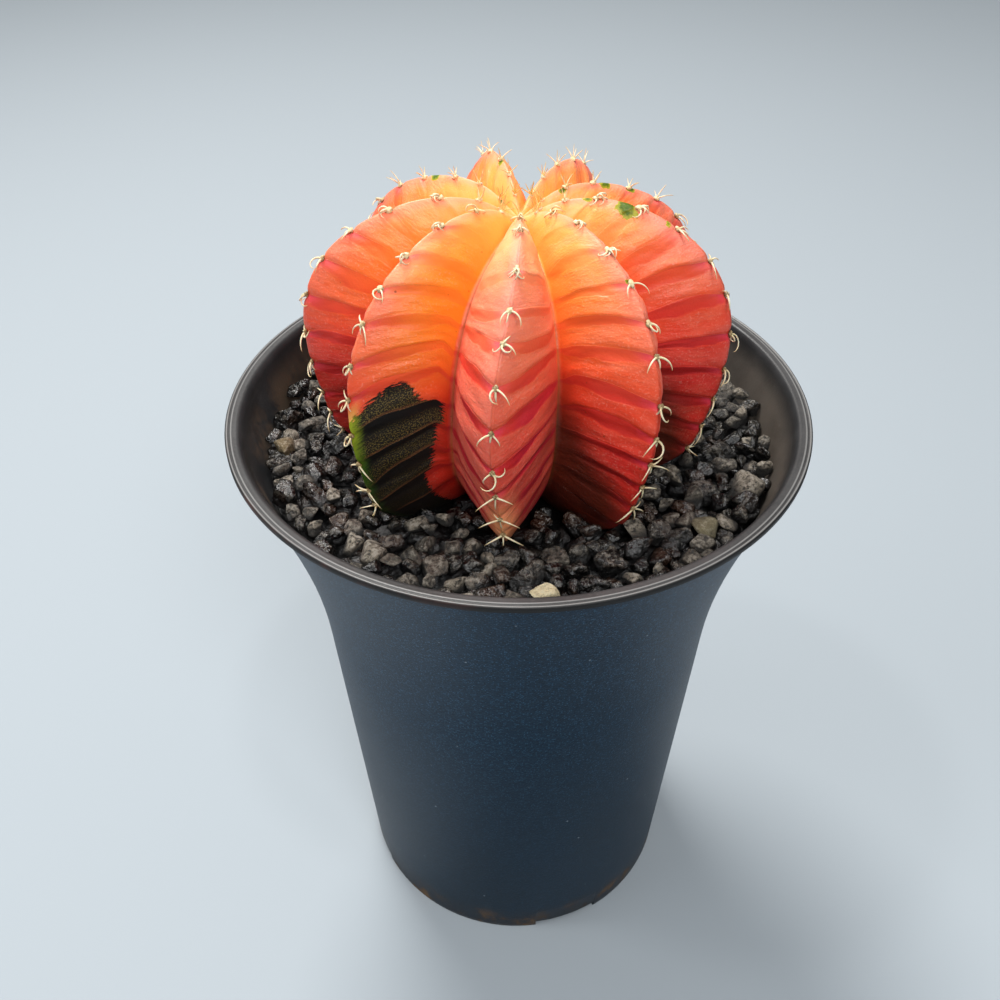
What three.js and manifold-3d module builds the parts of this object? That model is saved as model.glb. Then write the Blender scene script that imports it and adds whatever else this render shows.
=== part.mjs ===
// A variegated moon cactus growing in a deep flared plastic pot that is topped with black lava grit.
// Millimetres, +Z up. The origin is the centre of the pot's foot, on the surface that it stands on.
// Azimuths are in degrees from -Y, the side that the plant shows best, and grow towards +X.

import * as THREE from "three";
import { mergeVertices } from "three/addons/utils/BufferGeometryUtils.js";
import Module from "manifold-3d";

const wasm = await Module();
wasm.setup();

// Pot
const POT_HEIGHT = 104.4;
const RIM_RADIUS = 42.5;
const FOOT_RADIUS = 29.4;
const WALL = 1.2;
const WALL_TAPER = 0.048;
const FLARE_START = 64;
const FLARE_POWER = 2;
const LIP_THICKNESS = 0.9;
const LIP_OVERHANG = 0.6;
const LIP_TOP_EDGE = 0.3;
const LIP_WIDTH = 1.3;
const LIP_GROOVE = 0.4;
const BEAD_WIDTH = 0.8;
const POT_SIDES = 40;
const WALL_HEIGHTS = [0, FLARE_START, 76, 86, 95];
const FLOOR_UNDERSIDE = 2.4;
const FLOOR_TOP = 4;
const CENTRE_DRAIN_RADIUS = 4;
const SIDE_DRAIN_RADIUS = 3;
const SIDE_DRAIN_CIRCLE = 17;
const DRAIN_SIDES = 12;
const NOTCH_AZIMUTHS = [20, 110, 200, 290];
const NOTCH_WIDTH = 12;
const NOTCH_HEIGHT = 1.7;

// Filling
const SEAT_GAP = 0.3;
const SOIL_TOP = 92;
const GRIT_HOLLOWS = 96.6;
const STONE_TOP = 99.1;
const STONE_COLUMNS = 34;
const STONE_LINES = [34.7, 29.5, 24.2, 19, 13.5];
const OPEN_STONE_RINGS = 3;
const STONE_SHOULDER = 0.62;
const STONE_SHOULDER_SPREAD = 0.1;
const STONE_EDGE_DROP = 0.35;
const STONE_RISE_SPREAD = 0.5;
const STONE_JITTER = 1.1;
const STONE_TILT = 0.3;
const GRIT_GAP = 0.35;
const GRIT_SEED = 11;
const PEBBLE_SHRINK = 0.85;
const PEBBLE_SPREAD = 0.3;
const PEBBLE_STRETCH = [1.15, 1, 0.8];
const PEBBLES = [
  { name: "cream_pebble", azimuth: 5, radius: 34.9, z: 98.9, size: 2, colour: 0xd9c48f },
  { name: "tan_pebble_right", azimuth: 50, radius: 33.4, z: 98.4, size: 2.2, colour: 0x8a7a52 },
  { name: "tan_pebble_left", azimuth: -82, radius: 34.7, z: 98, size: 2.2, colour: 0x8b7440 },
];

// Cactus
const CACTUS_CENTRE = new THREE.Vector3(-0.5, 0, 115);
const CACTUS_LEAN = new THREE.Vector2(0.036, 0.029);
// Polar angles of the areoles down a rib, the crown being 0. The last one is under the grit and bears none.
const EVEN_AREOLES = [9.5, 18, 28, 41, 51.5, 61, 70.5, 80.5, 90.5, 99.5, 108, 116, 124];
const FRONT_AREOLES = [9.5, 18, 27, 42.5, 53.5, 61, 70.8, 81.5, 92.5, 100.8, 109.5, 116.5, 124];
const RIGHT_AREOLES = [9.5, 17, 28, 41, 51.5, 61.5, 69.2, 80.8, 89.5, 97, 104.5, 112, 121];
const FAR_RIGHT_AREOLES = [8, 16, 25, 37.2, 49, 60.5, 70.2, 81.2, 91.5, 101, 110, 118, 125];
const FAR_LEFT_AREOLES = [8, 15, 26.5, 41, 52.2, 62.8, 74, 85.5, 95.5, 106.5, 114, 121, 127];
const LEFT_AREOLES = [9.5, 20, 32.8, 45.5, 55.5, 64.5, 74.5, 83, 93, 102.2, 111.5, 117.5, 124];
// Each rib's azimuth at half height, how far it turns on the way down and sways from side to side, and by
// what share its crest stands further out than the others all along and in its lower half
const RIBS = [
  { azimuth: -2.7, turn: 0, sway: 2.6, reach: 0, lowReach: -0.012, areoles: FRONT_AREOLES },
  { azimuth: 36.2, turn: -4.8, sway: 0, reach: 0, lowReach: 0.022, areoles: RIGHT_AREOLES },
  { azimuth: 76.2, turn: -4.8, sway: 0, reach: 0, lowReach: -0.01, areoles: FAR_RIGHT_AREOLES },
  { azimuth: 114, turn: -2, sway: 1.2, reach: -0.055, lowReach: 0, areoles: EVEN_AREOLES },
  { azimuth: 154, turn: 0, sway: 1.2, reach: -0.025, lowReach: 0, areoles: EVEN_AREOLES },
  { azimuth: 194, turn: 2, sway: 1.2, reach: 0, lowReach: 0, areoles: EVEN_AREOLES },
  { azimuth: 235, turn: 0, sway: 1.2, reach: -0.045, lowReach: 0, areoles: EVEN_AREOLES },
  { azimuth: 277, turn: -6, sway: 0, reach: 0, lowReach: -0.035, areoles: FAR_LEFT_AREOLES },
  { azimuth: 315.9, turn: 5.6, sway: 0, reach: 0, lowReach: 0.006, areoles: LEFT_AREOLES },
];
const REACH_GROWTH = [10, 40];
const LOW_REACH_GROWTH = [60, 105];
const HALF_HEIGHT_POLAR = 75;
const RIB_POLAR_SPAN = 100;
const SWAY_PERIOD = 112;
const SWAY_START = 25;
const SWAY_STEP = 137;
// Distance from the cactus's centre to its crests and furrows, every 15 degrees from the crown to the base
const PROFILE_STEP = 15;
const CREST_PROFILE = [17.2, 20.8, 24, 26.7, 29, 30, 29.9, 29.9, 30.5, 28.6, 25.4, 23.4, 22.7];
const FURROW_PROFILE = [17.2, 16.9, 17.4, 18.3, 18.9, 19.3, 19.7, 21, 22.1, 22.3, 22, 22.2, 22.7];
const AREOLES_PER_RIB = 12;
const BURIED_POLARS = [136, 155];
// A ridge line runs from a crest to a furrow that is this much nearer the crown, except at both ends
const FURROW_LEAD = 5;
const LEAD_GROWTH = [0, 28];
const LEAD_FADE = [130, 180];
const FACET_STATIONS = [0, 0.18, 0.56];
const FACET_BULGE = 1.1;
// Relief across each swelling between two areoles: how far down it, and how far out
const SWELLING_RELIEF = [
  { share: 0, height: 0.42 },
  { share: 0.26, height: -0.42 },
  { share: 0.66, height: 0.24 },
];
const RELIEF_GROWTH = [8, 45];
const AREOLE_DENT = 0.35;
const AREOLE_RADIUS = 0.65;
const CROWN_AREOLE_RADIUS = 0.5;
const AREOLE_HEIGHT = 0.35;
const AREOLE_ROOT = 1.5;
const AREOLE_SIDES = 4;
const SPINE_RADIUS = 0.2;
const SPINE_FLOOR = 101;
const SPINE_TURN_SPREAD = 8;
const SPINE_LEAN_SPREAD = 0.2;
const SPINE_LENGTH_SPREAD = 0.18;
const SPINE_DROOP_SPREAD = 0.3;
const SPINE_SEED = 5;
// Each spine leaves one face of the areole's cushion: its turn from straight down the rib, its lean out
// from the skin, its length and how far it bends over
const CROWN_SPINES = [
  { face: 0, turn: 0, lean: 66, length: 2.2, droop: 4 },
  { face: 2, turn: 180, lean: 84, length: 2.5, droop: 4 },
];
const YOUNG_SPINES = [
  { face: 1, turn: 75, lean: 56, length: 2.5, droop: 20 },
  { face: 2, turn: 180, lean: 66, length: 2.7, droop: 10 },
  { face: 3, turn: -75, lean: 52, length: 2.5, droop: 20 },
];
const GROWN_SPINES = [
  { face: 0, turn: 3, lean: 40, length: 2.9, droop: 44 },
  { face: 1, turn: 72, lean: 30, length: 3.5, droop: 56 },
  { face: 3, turn: -74, lean: 32, length: 3.4, droop: 56 },
];
const LAST_YOUNG_AREOLE = 2;
const ROOT_TOP_Z = 96;
const ROOT_TOP_RADIUS = 6;
const ROOT_TIP_RADIUS = 1.5;
const ROOT_TIP_Z = 62;
const ROOT_SIDES = 16;

const COLOURS = {
  pot: { color: 0x2c4358, roughness: 0.45 },
  soil: { color: 0x4a3a2c, roughness: 0.95 },
  grit: { color: 0x2b2a29, roughness: 0.8 },
  cactus: { color: 0xf0683c, roughness: 0.5 },
};

const radians = THREE.MathUtils.degToRad;

// A point at an azimuth and distance from the pot's axis
function around(azimuth, radius, z) {
  const turn = radians(azimuth);
  return new THREE.Vector3(radius * Math.sin(turn), -radius * Math.cos(turn), z);
}

// A stream of numbers from 0 to 1 that is the same on each run
function randomStream(seed) {
  let state = seed;
  return () => {
    state = (state + 0x6d2b79f5) | 0;
    let mixed = Math.imul(state ^ (state >>> 15), 1 | state);
    mixed = (mixed + Math.imul(mixed ^ (mixed >>> 7), 61 | mixed)) ^ mixed;
    return ((mixed ^ (mixed >>> 14)) >>> 0) / 4294967296;
  };
}

// A closed three.js geometry as a solid that can be cut and joined
function solid(geometry) {
  const bare = geometry.clone();
  bare.deleteAttribute("normal");
  bare.deleteAttribute("uv");
  const merged = mergeVertices(bare, 1e-4);
  const corners = merged.index.array;
  const kept = [];
  for (let i = 0; i < corners.length; i += 3) {
    const [a, b, c] = corners.slice(i, i + 3);
    if (a !== b && b !== c && a !== c) kept.push(a, b, c);
  }
  return new wasm.Manifold(
    new wasm.Mesh({
      numProp: 3,
      vertProperties: new Float32Array(merged.attributes.position.array),
      triVerts: new Uint32Array(kept),
    }),
  );
}

// The solid with these corners and triangles
function fromPoints(points, faces) {
  const shape = new THREE.BufferGeometry().setFromPoints(points);
  shape.setIndex(faces);
  return solid(shape);
}

function part(name, made, finish) {
  const mesh = made.getMesh();
  const geometry = new THREE.BufferGeometry();
  geometry.setAttribute("position", new THREE.BufferAttribute(mesh.vertProperties, 3));
  geometry.setIndex(new THREE.BufferAttribute(mesh.triVerts, 1));
  geometry.computeVertexNormals();
  const shown = new THREE.Mesh(geometry, new THREE.MeshStandardMaterial({ metalness: 0, ...finish }));
  shown.name = name;
  return shown;
}

// A solid of revolution about Z from [radius, z] points that run anticlockwise, with the axis on the left
function revolve(outline, sides) {
  const points = outline.map(([radius, z]) => new THREE.Vector2(radius, z));
  return solid(new THREE.LatheGeometry(points, sides).rotateX(Math.PI / 2));
}

function potRadius(z) {
  const straight = FOOT_RADIUS + WALL_TAPER * z;
  if (z <= FLARE_START) return straight;
  const flare = RIM_RADIUS - LIP_OVERHANG - FOOT_RADIUS - WALL_TAPER * POT_HEIGHT;
  return straight + flare * ((z - FLARE_START) / (POT_HEIGHT - FLARE_START)) ** FLARE_POWER;
}

function makePot() {
  const lipFloor = POT_HEIGHT - LIP_THICKNESS;
  const lipInner = RIM_RADIUS - LIP_TOP_EDGE - LIP_WIDTH;
  const outside = WALL_HEIGHTS.map((z) => [potRadius(z), z]);
  const lip = [
    [potRadius(lipFloor), lipFloor],
    [RIM_RADIUS, lipFloor],
    [RIM_RADIUS, POT_HEIGHT - LIP_TOP_EDGE],
    [RIM_RADIUS - LIP_TOP_EDGE, POT_HEIGHT],
    [lipInner, POT_HEIGHT - LIP_TOP_EDGE / 2],
    [lipInner - LIP_GROOVE / 2, POT_HEIGHT - LIP_GROOVE],
    [lipInner - LIP_GROOVE, POT_HEIGHT - LIP_TOP_EDGE],
    [lipInner - LIP_GROOVE - BEAD_WIDTH / 2, POT_HEIGHT - LIP_TOP_EDGE / 2],
  ];
  const inside = WALL_HEIGHTS.slice(1)
    .reverse()
    .map((z) => [potRadius(z) - WALL, z]);
  const floor = [
    [potRadius(FLOOR_TOP) - WALL, FLOOR_TOP],
    [CENTRE_DRAIN_RADIUS, FLOOR_TOP],
    [CENTRE_DRAIN_RADIUS, FLOOR_UNDERSIDE],
    [FOOT_RADIUS - WALL, FLOOR_UNDERSIDE],
    [FOOT_RADIUS - WALL, 0],
  ];
  const outline = [...outside, ...lip, ...inside, ...floor];
  let pot = revolve([...outline, outline[0]], POT_SIDES);
  for (const azimuth of NOTCH_AZIMUTHS) {
    const notch = new THREE.BoxGeometry(NOTCH_WIDTH, 4 * WALL, 2 * NOTCH_HEIGHT)
      .rotateZ(radians(azimuth))
      .translate(...around(azimuth, FOOT_RADIUS, 0).toArray());
    pot = pot.subtract(solid(notch));
    const drain = new THREE.CylinderGeometry(SIDE_DRAIN_RADIUS, SIDE_DRAIN_RADIUS, 2 * FLOOR_TOP, DRAIN_SIDES)
      .rotateX(Math.PI / 2)
      .translate(...around(azimuth, SIDE_DRAIN_CIRCLE, FLOOR_TOP / 2).toArray());
    pot = pot.subtract(solid(drain));
  }
  return pot;
}

// The root neck as a solid, or the hole that it stands in when grown by the seat's gap
function rootNeck(grow) {
  const height = ROOT_TOP_Z - ROOT_TIP_Z + grow;
  const neck = new THREE.CylinderGeometry(ROOT_TOP_RADIUS + grow, ROOT_TIP_RADIUS + grow, height, ROOT_SIDES)
    .rotateX(Math.PI / 2)
    .translate(CACTUS_CENTRE.x, 0, ROOT_TOP_Z - height / 2);
  return solid(neck);
}

// The potting mix fills the pot below the grit, with a plain hole for the root
function makeSoil() {
  const wall = [FLOOR_TOP, FLARE_START, 80, SOIL_TOP].map((z) => [potRadius(z) - WALL - SEAT_GAP, z]);
  const soil = revolve([[0, FLOOR_TOP], ...wall, [0, SOIL_TOP]], POT_SIDES);
  return soil.subtract(rootNeck(SEAT_GAP));
}

// An uneven pebble: an icosahedron with its corners moved, flattened and turned at random
function pebble({ azimuth, radius, z, size }, grow, random) {
  const ball = new THREE.IcosahedronGeometry(size, 0).deleteAttribute("normal").deleteAttribute("uv");
  const shape = mergeVertices(ball);
  const places = shape.attributes.position;
  for (let i = 0; i < places.count; i++) {
    const reach = PEBBLE_SHRINK + PEBBLE_SPREAD * random() + grow / size;
    places.setXYZ(i, places.getX(i) * reach, places.getY(i) * reach, places.getZ(i) * reach);
  }
  shape.scale(...PEBBLE_STRETCH).rotateZ(2 * Math.PI * random());
  return solid(shape.translate(...around(azimuth, radius, z).toArray()));
}

function makePebbles(grow) {
  const random = randomStream(GRIT_SEED);
  return PEBBLES.map((one) => pebble(one, grow, random));
}

// The grit is one bed whose top is tiled with six-sided stones, cut clear of the cactus and the pebbles.
// Lines of points run round the pot, and each ring of stones lies between two of them, half a stone on from
// the ring outside it. The innermost stones, which lie mostly under the ribs, are plain low peaks.
function makeGrit(cactusRoom) {
  const random = randomStream(GRIT_SEED);
  const shift = (size) => size * (2 * random() - 1);
  const wallRadius = (z) => potRadius(z) - WALL - SEAT_GAP;
  const vertices = [];
  const faces = [];
  const addPoint = (place) => vertices.push(place) - 1;
  const perLine = 2 * STONE_COLUMNS;
  const addLine = (radius, z, jitter) =>
    Array.from({ length: perLine }, (_, i) => {
      const azimuth = (360 * i) / perLine + THREE.MathUtils.radToDeg(shift(jitter) / radius);
      return addPoint(around(azimuth, radius + shift(jitter), z + shift(jitter / 4)));
    });
  const lines = [addLine(wallRadius(GRIT_HOLLOWS), GRIT_HOLLOWS, 0)];
  for (const radius of STONE_LINES) lines.push(addLine(radius, GRIT_HOLLOWS, STONE_JITTER));
  for (let ring = 0; ring + 1 < lines.length; ring++) {
    for (let column = 0; column < STONE_COLUMNS; column++) {
      const first = 2 * column + (ring % 2);
      const along = [first, first + 1, first + 2].map((i) => i % perLine);
      const outer = along.map((i) => lines[ring][i]);
      const inner = along.map((i) => lines[ring + 1][i]);
      const border = [...outer, ...inner.reverse()];
      const corners = border.map((i) => vertices[i]);
      const middle = corners.reduce((sum, one) => sum.add(one), new THREE.Vector3());
      middle.divideScalar(corners.length);
      middle.z = STONE_TOP + shift(STONE_RISE_SPREAD);
      const top = addPoint(middle);
      if (ring >= OPEN_STONE_RINGS) {
        border.forEach((corner, i) => faces.push(corner, border[(i + 1) % border.length], top));
        continue;
      }
      const tilt = new THREE.Vector2(shift(STONE_TILT), shift(STONE_TILT));
      const shoulder = corners.map((corner) => {
        const reach = STONE_SHOULDER + shift(STONE_SHOULDER_SPREAD);
        const place = corner.clone().sub(middle).multiplyScalar(reach);
        place.z = tilt.x * place.x + tilt.y * place.y - STONE_EDGE_DROP;
        return addPoint(place.add(middle));
      });
      border.forEach((corner, i) => {
        const next = (i + 1) % border.length;
        faces.push(corner, border[next], shoulder[next], corner, shoulder[next], shoulder[i]);
        faces.push(shoulder[i], shoulder[next], top);
      });
    }
  }
  // The smooth sides and underside close the bed
  const rim = lines[0];
  const inner = lines.at(-1);
  const foot = addLine(wallRadius(SOIL_TOP), SOIL_TOP, 0);
  const innerFoot = addLine(STONE_LINES.at(-1), SOIL_TOP, 0);
  for (let i = 0; i < perLine; i++) {
    const next = (i + 1) % perLine;
    for (const [from, to] of [[foot, rim], [innerFoot, foot], [inner, innerFoot]]) {
      faces.push(from[i], from[next], to[next], from[i], to[next], to[i]);
    }
  }
  let grit = fromPoints(vertices, faces).subtract(cactusRoom);
  for (const one of makePebbles(SEAT_GAP)) grit = grit.subtract(one);
  return grit;
}

// A value between evenly spaced ones, on a smooth curve through them
function smoothAlong(values, place) {
  const last = values.length - 1;
  const low = Math.min(Math.floor(place), last - 1);
  const t = place - low;
  const [before, from, to, after] = [-1, 0, 1, 2].map((i) => values[THREE.MathUtils.clamp(low + i, 0, last)]);
  const slopeFrom = (to - before) / 2;
  const slopeTo = (after - from) / 2;
  const square = t * t;
  const cube = square * t;
  return (
    (2 * cube - 3 * square + 1) * from +
    (cube - 2 * square + t) * slopeFrom +
    (3 * square - 2 * cube) * to +
    (cube - square) * slopeTo
  );
}

// A point of the cactus by azimuth, polar angle and distance from its centre, on a body that leans a little
function cactusPoint(azimuth, polar, reach) {
  const height = reach * Math.cos(radians(polar));
  const place = around(azimuth, reach * Math.sin(radians(polar)), height);
  place.x += CACTUS_LEAN.x * height;
  place.y += CACTUS_LEAN.y * height;
  return place.add(CACTUS_CENTRE);
}

// A rib's polar angle at a place that is counted in areoles down from the crown
function ribPolar(rib, order) {
  const polars = [...RIBS[rib].areoles, ...BURIED_POLARS];
  const low = Math.min(Math.floor(order), polars.length - 2);
  return THREE.MathUtils.lerp(polars[low], polars[low + 1], order - low);
}

function crestAzimuth(rib, polar) {
  const { azimuth, turn, sway } = RIBS[rib];
  const phase = ((polar - SWAY_START) / SWAY_PERIOD) * 360 + rib * SWAY_STEP;
  return azimuth + (turn * (polar - HALF_HEIGHT_POLAR)) / RIB_POLAR_SPAN + sway * Math.cos(radians(phase));
}

function crestPoint(rib, polar, grow) {
  const { smoothstep } = THREE.MathUtils;
  const { reach, lowReach } = RIBS[rib];
  const allAlong = reach * smoothstep(polar, ...REACH_GROWTH);
  const lower = lowReach * smoothstep(polar, ...LOW_REACH_GROWTH);
  const distance = (1 + allAlong + lower) * smoothAlong(CREST_PROFILE, polar / PROFILE_STEP);
  return cactusPoint(crestAzimuth(rib, polar), polar, distance + grow);
}

// The furrow on one side of a rib lies midway to the next rib
function furrowAzimuth(rib, side, polar) {
  const turned = (one) => (one.turn * (polar - HALF_HEIGHT_POLAR)) / RIB_POLAR_SPAN;
  const own = RIBS[rib];
  const next = RIBS[nextRib(rib, side)];
  const gap = side * (next.azimuth + turned(next) - own.azimuth - turned(own));
  return own.azimuth + turned(own) + (side * THREE.MathUtils.euclideanModulo(gap, 360)) / 2;
}

function nextRib(rib, side) {
  return THREE.MathUtils.euclideanModulo(rib + side, RIBS.length);
}

// The furrow's polar angle on the ridge line that leaves a rib's crest at the given place
function furrowPolar(rib, side, order) {
  const { smoothstep } = THREE.MathUtils;
  const own = ribPolar(rib, order);
  const fade = smoothstep(own, ...LEAD_GROWTH) * (1 - smoothstep(own, ...LEAD_FADE));
  return (own + ribPolar(nextRib(rib, side), order)) / 2 - fade * FURROW_LEAD;
}

// Ridge lines from the crown to the base, each with its relief: out at an areole's line, in just below it
function ridgeRows() {
  const rows = [];
  for (let order = 0; order < AREOLES_PER_RIB; order++) {
    const strength = THREE.MathUtils.smoothstep(EVEN_AREOLES[order], ...RELIEF_GROWTH);
    for (const { share, height } of SWELLING_RELIEF) {
      const dent = share === 0 ? AREOLE_DENT * strength : 0;
      rows.push({ order: order + share, relief: height * strength, dent });
    }
  }
  for (const below of [0, 1, 2]) rows.push({ order: AREOLES_PER_RIB + below, relief: 0, dent: 0 });
  return rows;
}

// Half a ridge line: from a rib's crest to the furrow on one side, nearly flat, with the relief pushed out
// along the facet's normal
function halfLine(rib, side, { order, relief, dent }, grow) {
  const polar = ribPolar(rib, order);
  const low = furrowPolar(rib, side, order);
  const crest = crestPoint(rib, polar, grow - dent);
  const furrowReach = smoothAlong(FURROW_PROFILE, low / PROFILE_STEP) + grow;
  const furrow = cactusPoint(furrowAzimuth(rib, side, low), low, furrowReach);
  const out = crest.clone().sub(CACTUS_CENTRE).normalize();
  const across = furrow.clone().sub(crest).normalize();
  const normal = out.addScaledVector(across, -out.dot(across)).normalize();
  const stations = FACET_STATIONS.map((share) => {
    const push = Math.sin(Math.PI * share) * (relief + FACET_BULGE * Math.sin(radians(polar)));
    return crest.clone().lerp(furrow, share).addScaledVector(normal, push);
  });
  return [...stations, furrow];
}

function ribbedBody(grow) {
  const places = [];
  const rows = ridgeRows();
  for (const row of rows) {
    for (let rib = 0; rib < RIBS.length; rib++) {
      const left = halfLine(rib, -1, row, grow);
      const right = halfLine(rib, 1, row, grow);
      places.push(...left.slice(1).reverse(), ...right.slice(0, -1));
    }
  }
  const columns = RIBS.length * 2 * FACET_STATIONS.length;
  const crown = places.length;
  places.push(cactusPoint(0, 0, CREST_PROFILE[0] + grow), cactusPoint(0, 180, CREST_PROFILE.at(-1) + grow));
  const faces = [];
  for (let column = 0; column < columns; column++) {
    const next = (column + 1) % columns;
    faces.push(crown, column, next);
    for (let row = 0; row + 1 < rows.length; row++) {
      const a = row * columns + column;
      const b = row * columns + next;
      faces.push(a, a + columns, b, b, a + columns, b + columns);
    }
    const lowest = (rows.length - 1) * columns;
    faces.push(crown + 1, lowest + next, lowest + column);
  }
  return fromPoints(places, faces);
}

// Where an areole sits, with the directions out from the skin, down the rib and across it
function areoleFrame(rib, polar) {
  const at = (angle) => crestPoint(rib, angle, -AREOLE_DENT);
  const place = at(polar);
  const down = at(polar + 2).sub(at(polar - 2)).normalize();
  const across = around(crestAzimuth(rib, polar) + 90, 1, 0);
  const out = new THREE.Vector3().crossVectors(down, across).normalize();
  return { place, down, across, out };
}

// An areole as one small solid: a woolly four-sided cushion rooted in the rib, with a curved tapering
// spine drawn out of some of its faces
function tuft({ place, down, across, out }, spines, cushionRadius) {
  const heading = (turn, lean) => {
    const along = down.clone().multiplyScalar(Math.cos(radians(turn)));
    along.addScaledVector(across, Math.sin(radians(turn))).multiplyScalar(Math.cos(radians(lean)));
    return along.addScaledVector(out, Math.sin(radians(lean)));
  };
  const top = place.clone().addScaledVector(out, AREOLE_HEIGHT);
  const root = place.clone().addScaledVector(out, -AREOLE_ROOT);
  const corners = [top, root];
  for (let side = 0; side < AREOLE_SIDES; side++) {
    const turn = (360 * (side - 0.5)) / AREOLE_SIDES;
    corners.push(place.clone().addScaledVector(heading(turn, 0), cushionRadius));
  }
  const faces = [];
  for (let side = 0; side < AREOLE_SIDES; side++) {
    const from = 2 + side;
    const to = 2 + ((side + 1) % AREOLE_SIDES);
    faces.push(1, to, from);
    const grown = spines.find(({ face }) => face === side);
    if (!grown) {
      faces.push(0, from, to);
      continue;
    }
    const { turn, lean, length, droop } = grown;
    const base = [0, from, to];
    const centre = base.reduce((sum, i) => sum.add(corners[i]), new THREE.Vector3()).divideScalar(3);
    const first = heading(turn, lean + droop / 2);
    const bend = centre.clone().addScaledVector(first, length / 2);
    const tip = bend.clone().addScaledVector(heading(turn, lean - droop / 2), length / 2);
    bend.z = Math.max(bend.z, SPINE_FLOOR);
    tip.z = Math.max(tip.z, SPINE_FLOOR);
    const middle = base.map((i) => {
      const offset = corners[i].clone().sub(centre);
      offset.addScaledVector(first, -offset.dot(first)).setLength(SPINE_RADIUS);
      return corners.push(bend.clone().add(offset)) - 1;
    });
    const point = corners.push(tip) - 1;
    for (let i = 0; i < 3; i++) {
      const next = (i + 1) % 3;
      faces.push(base[i], base[next], middle[next], base[i], middle[next], middle[i]);
      faces.push(middle[i], middle[next], point);
    }
  }
  return fromPoints(corners, faces);
}

// The spines of the areole that is this far down its rib, with 0 next to the crown
function spinesOf(order) {
  if (order === 0) return CROWN_SPINES;
  return order <= LAST_YOUNG_AREOLE ? YOUNG_SPINES : GROWN_SPINES;
}

function makeCactus() {
  const random = randomStream(SPINE_SEED);
  const shift = (size) => size * (2 * random() - 1);
  let cactus = ribbedBody(0).add(rootNeck(0));
  for (let rib = 0; rib < RIBS.length; rib++) {
    for (let order = 0; order < AREOLES_PER_RIB; order++) {
      const spines = spinesOf(order).map(({ face, turn, lean, length, droop }) => ({
        face,
        turn: turn + shift(SPINE_TURN_SPREAD),
        lean: lean * (1 + shift(SPINE_LEAN_SPREAD)),
        length: length * (1 + shift(SPINE_LENGTH_SPREAD)),
        droop: droop * (1 + shift(SPINE_DROOP_SPREAD)),
      }));
      const cushionRadius = order === 0 ? CROWN_AREOLE_RADIUS : AREOLE_RADIUS;
      cactus = cactus.add(tuft(areoleFrame(rib, ribPolar(rib, order)), spines, cushionRadius));
    }
  }
  return cactus;
}

const cactus = makeCactus();
const grit = makeGrit(ribbedBody(GRIT_GAP));
const plant = new THREE.Group();
plant.add(part("pot", makePot(), COLOURS.pot));
plant.add(part("potting_mix", makeSoil(), COLOURS.soil));
plant.add(part("lava_grit", grit, COLOURS.grit));
plant.add(part("cactus", cactus, COLOURS.cactus));
makePebbles(0).forEach((pebble, i) => {
  plant.add(part(PEBBLES[i].name, pebble, { color: PEBBLES[i].colour, roughness: 0.85 }));
});

export default plant;
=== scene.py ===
import math

import bmesh
import bpy
import numpy as np
from mathutils import Euler, Matrix, Vector, noise


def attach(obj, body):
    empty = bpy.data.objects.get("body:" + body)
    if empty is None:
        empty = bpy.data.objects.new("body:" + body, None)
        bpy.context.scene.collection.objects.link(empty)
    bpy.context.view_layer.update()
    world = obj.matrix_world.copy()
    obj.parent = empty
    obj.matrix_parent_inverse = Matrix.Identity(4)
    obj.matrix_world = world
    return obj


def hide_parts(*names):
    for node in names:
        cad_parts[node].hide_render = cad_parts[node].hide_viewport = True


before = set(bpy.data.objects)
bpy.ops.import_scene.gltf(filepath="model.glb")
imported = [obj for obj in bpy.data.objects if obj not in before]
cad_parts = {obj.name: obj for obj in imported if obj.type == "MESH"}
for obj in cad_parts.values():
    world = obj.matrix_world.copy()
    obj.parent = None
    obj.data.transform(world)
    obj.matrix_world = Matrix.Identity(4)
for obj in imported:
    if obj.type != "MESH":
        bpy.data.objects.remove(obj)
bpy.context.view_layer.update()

MM = 0.001

# The pot, in millimetres, as in the part's own source
POT_HEIGHT = 104.4
RIM_RADIUS = 42.5
FOOT_RADIUS = 29.4
WALL = 1.2
WALL_TAPER = 0.048
FLARE_START = 64
FLARE_POWER = 2
LIP_OVERHANG = 0.6
LIP_THICKNESS = 0.9
FLOOR_UNDERSIDE = 2.4
FLOOR_TOP = 4
CENTRE_DRAIN_RADIUS = 4
SIDE_DRAIN_RADIUS = 3
SIDE_DRAIN_CIRCLE = 17
NOTCH_AZIMUTHS = [20, 110, 200, 290]
NOTCH_WIDTH = 12
NOTCH_HEIGHT = 1.7
POT_SIDES = 256
OUTER_WALL_HEIGHTS = [0.35, 1.2, 6, 20, 35, 50, 64, 68, 72, 76, 80, 84, 88, 91, 94, 97, 100, 102]
INNER_WALL_HEIGHTS = [102.4, 101, 98, 95, 92, 88, 84, 80, 76, 72, 64, 50, 25, 5.2]
# The lip from its outer edge inwards: how far in from the rim's edge and how far below its top
LIP_SECTION = [
    (0, 0.2), (0.05, 0.11), (0.16, 0.03), (0.28, 0), (0.4, 0.05), (0.5, 0.13), (0.62, 0.13), (0.74, 0.04),
    (0.86, 0.02), (1.0, 0.06), (1.5, 0.08), (1.75, 0.12), (1.95, 0.26), (2.15, 0.5), (2.32, 0.8),
    (2.46, 1.15),
]
# Two fine painted highlight lines along the rim's ridges: distance in from its edge, half width and share
RIM_HIGHLIGHTS = [(0.3, 0.16, 0.46), (0.86, 0.16, 0.4)]

# The cactus
CENTRE = np.array([-0.5, 0.0, 115.0])
LEAN = np.array([0.036, 0.029])
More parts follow.
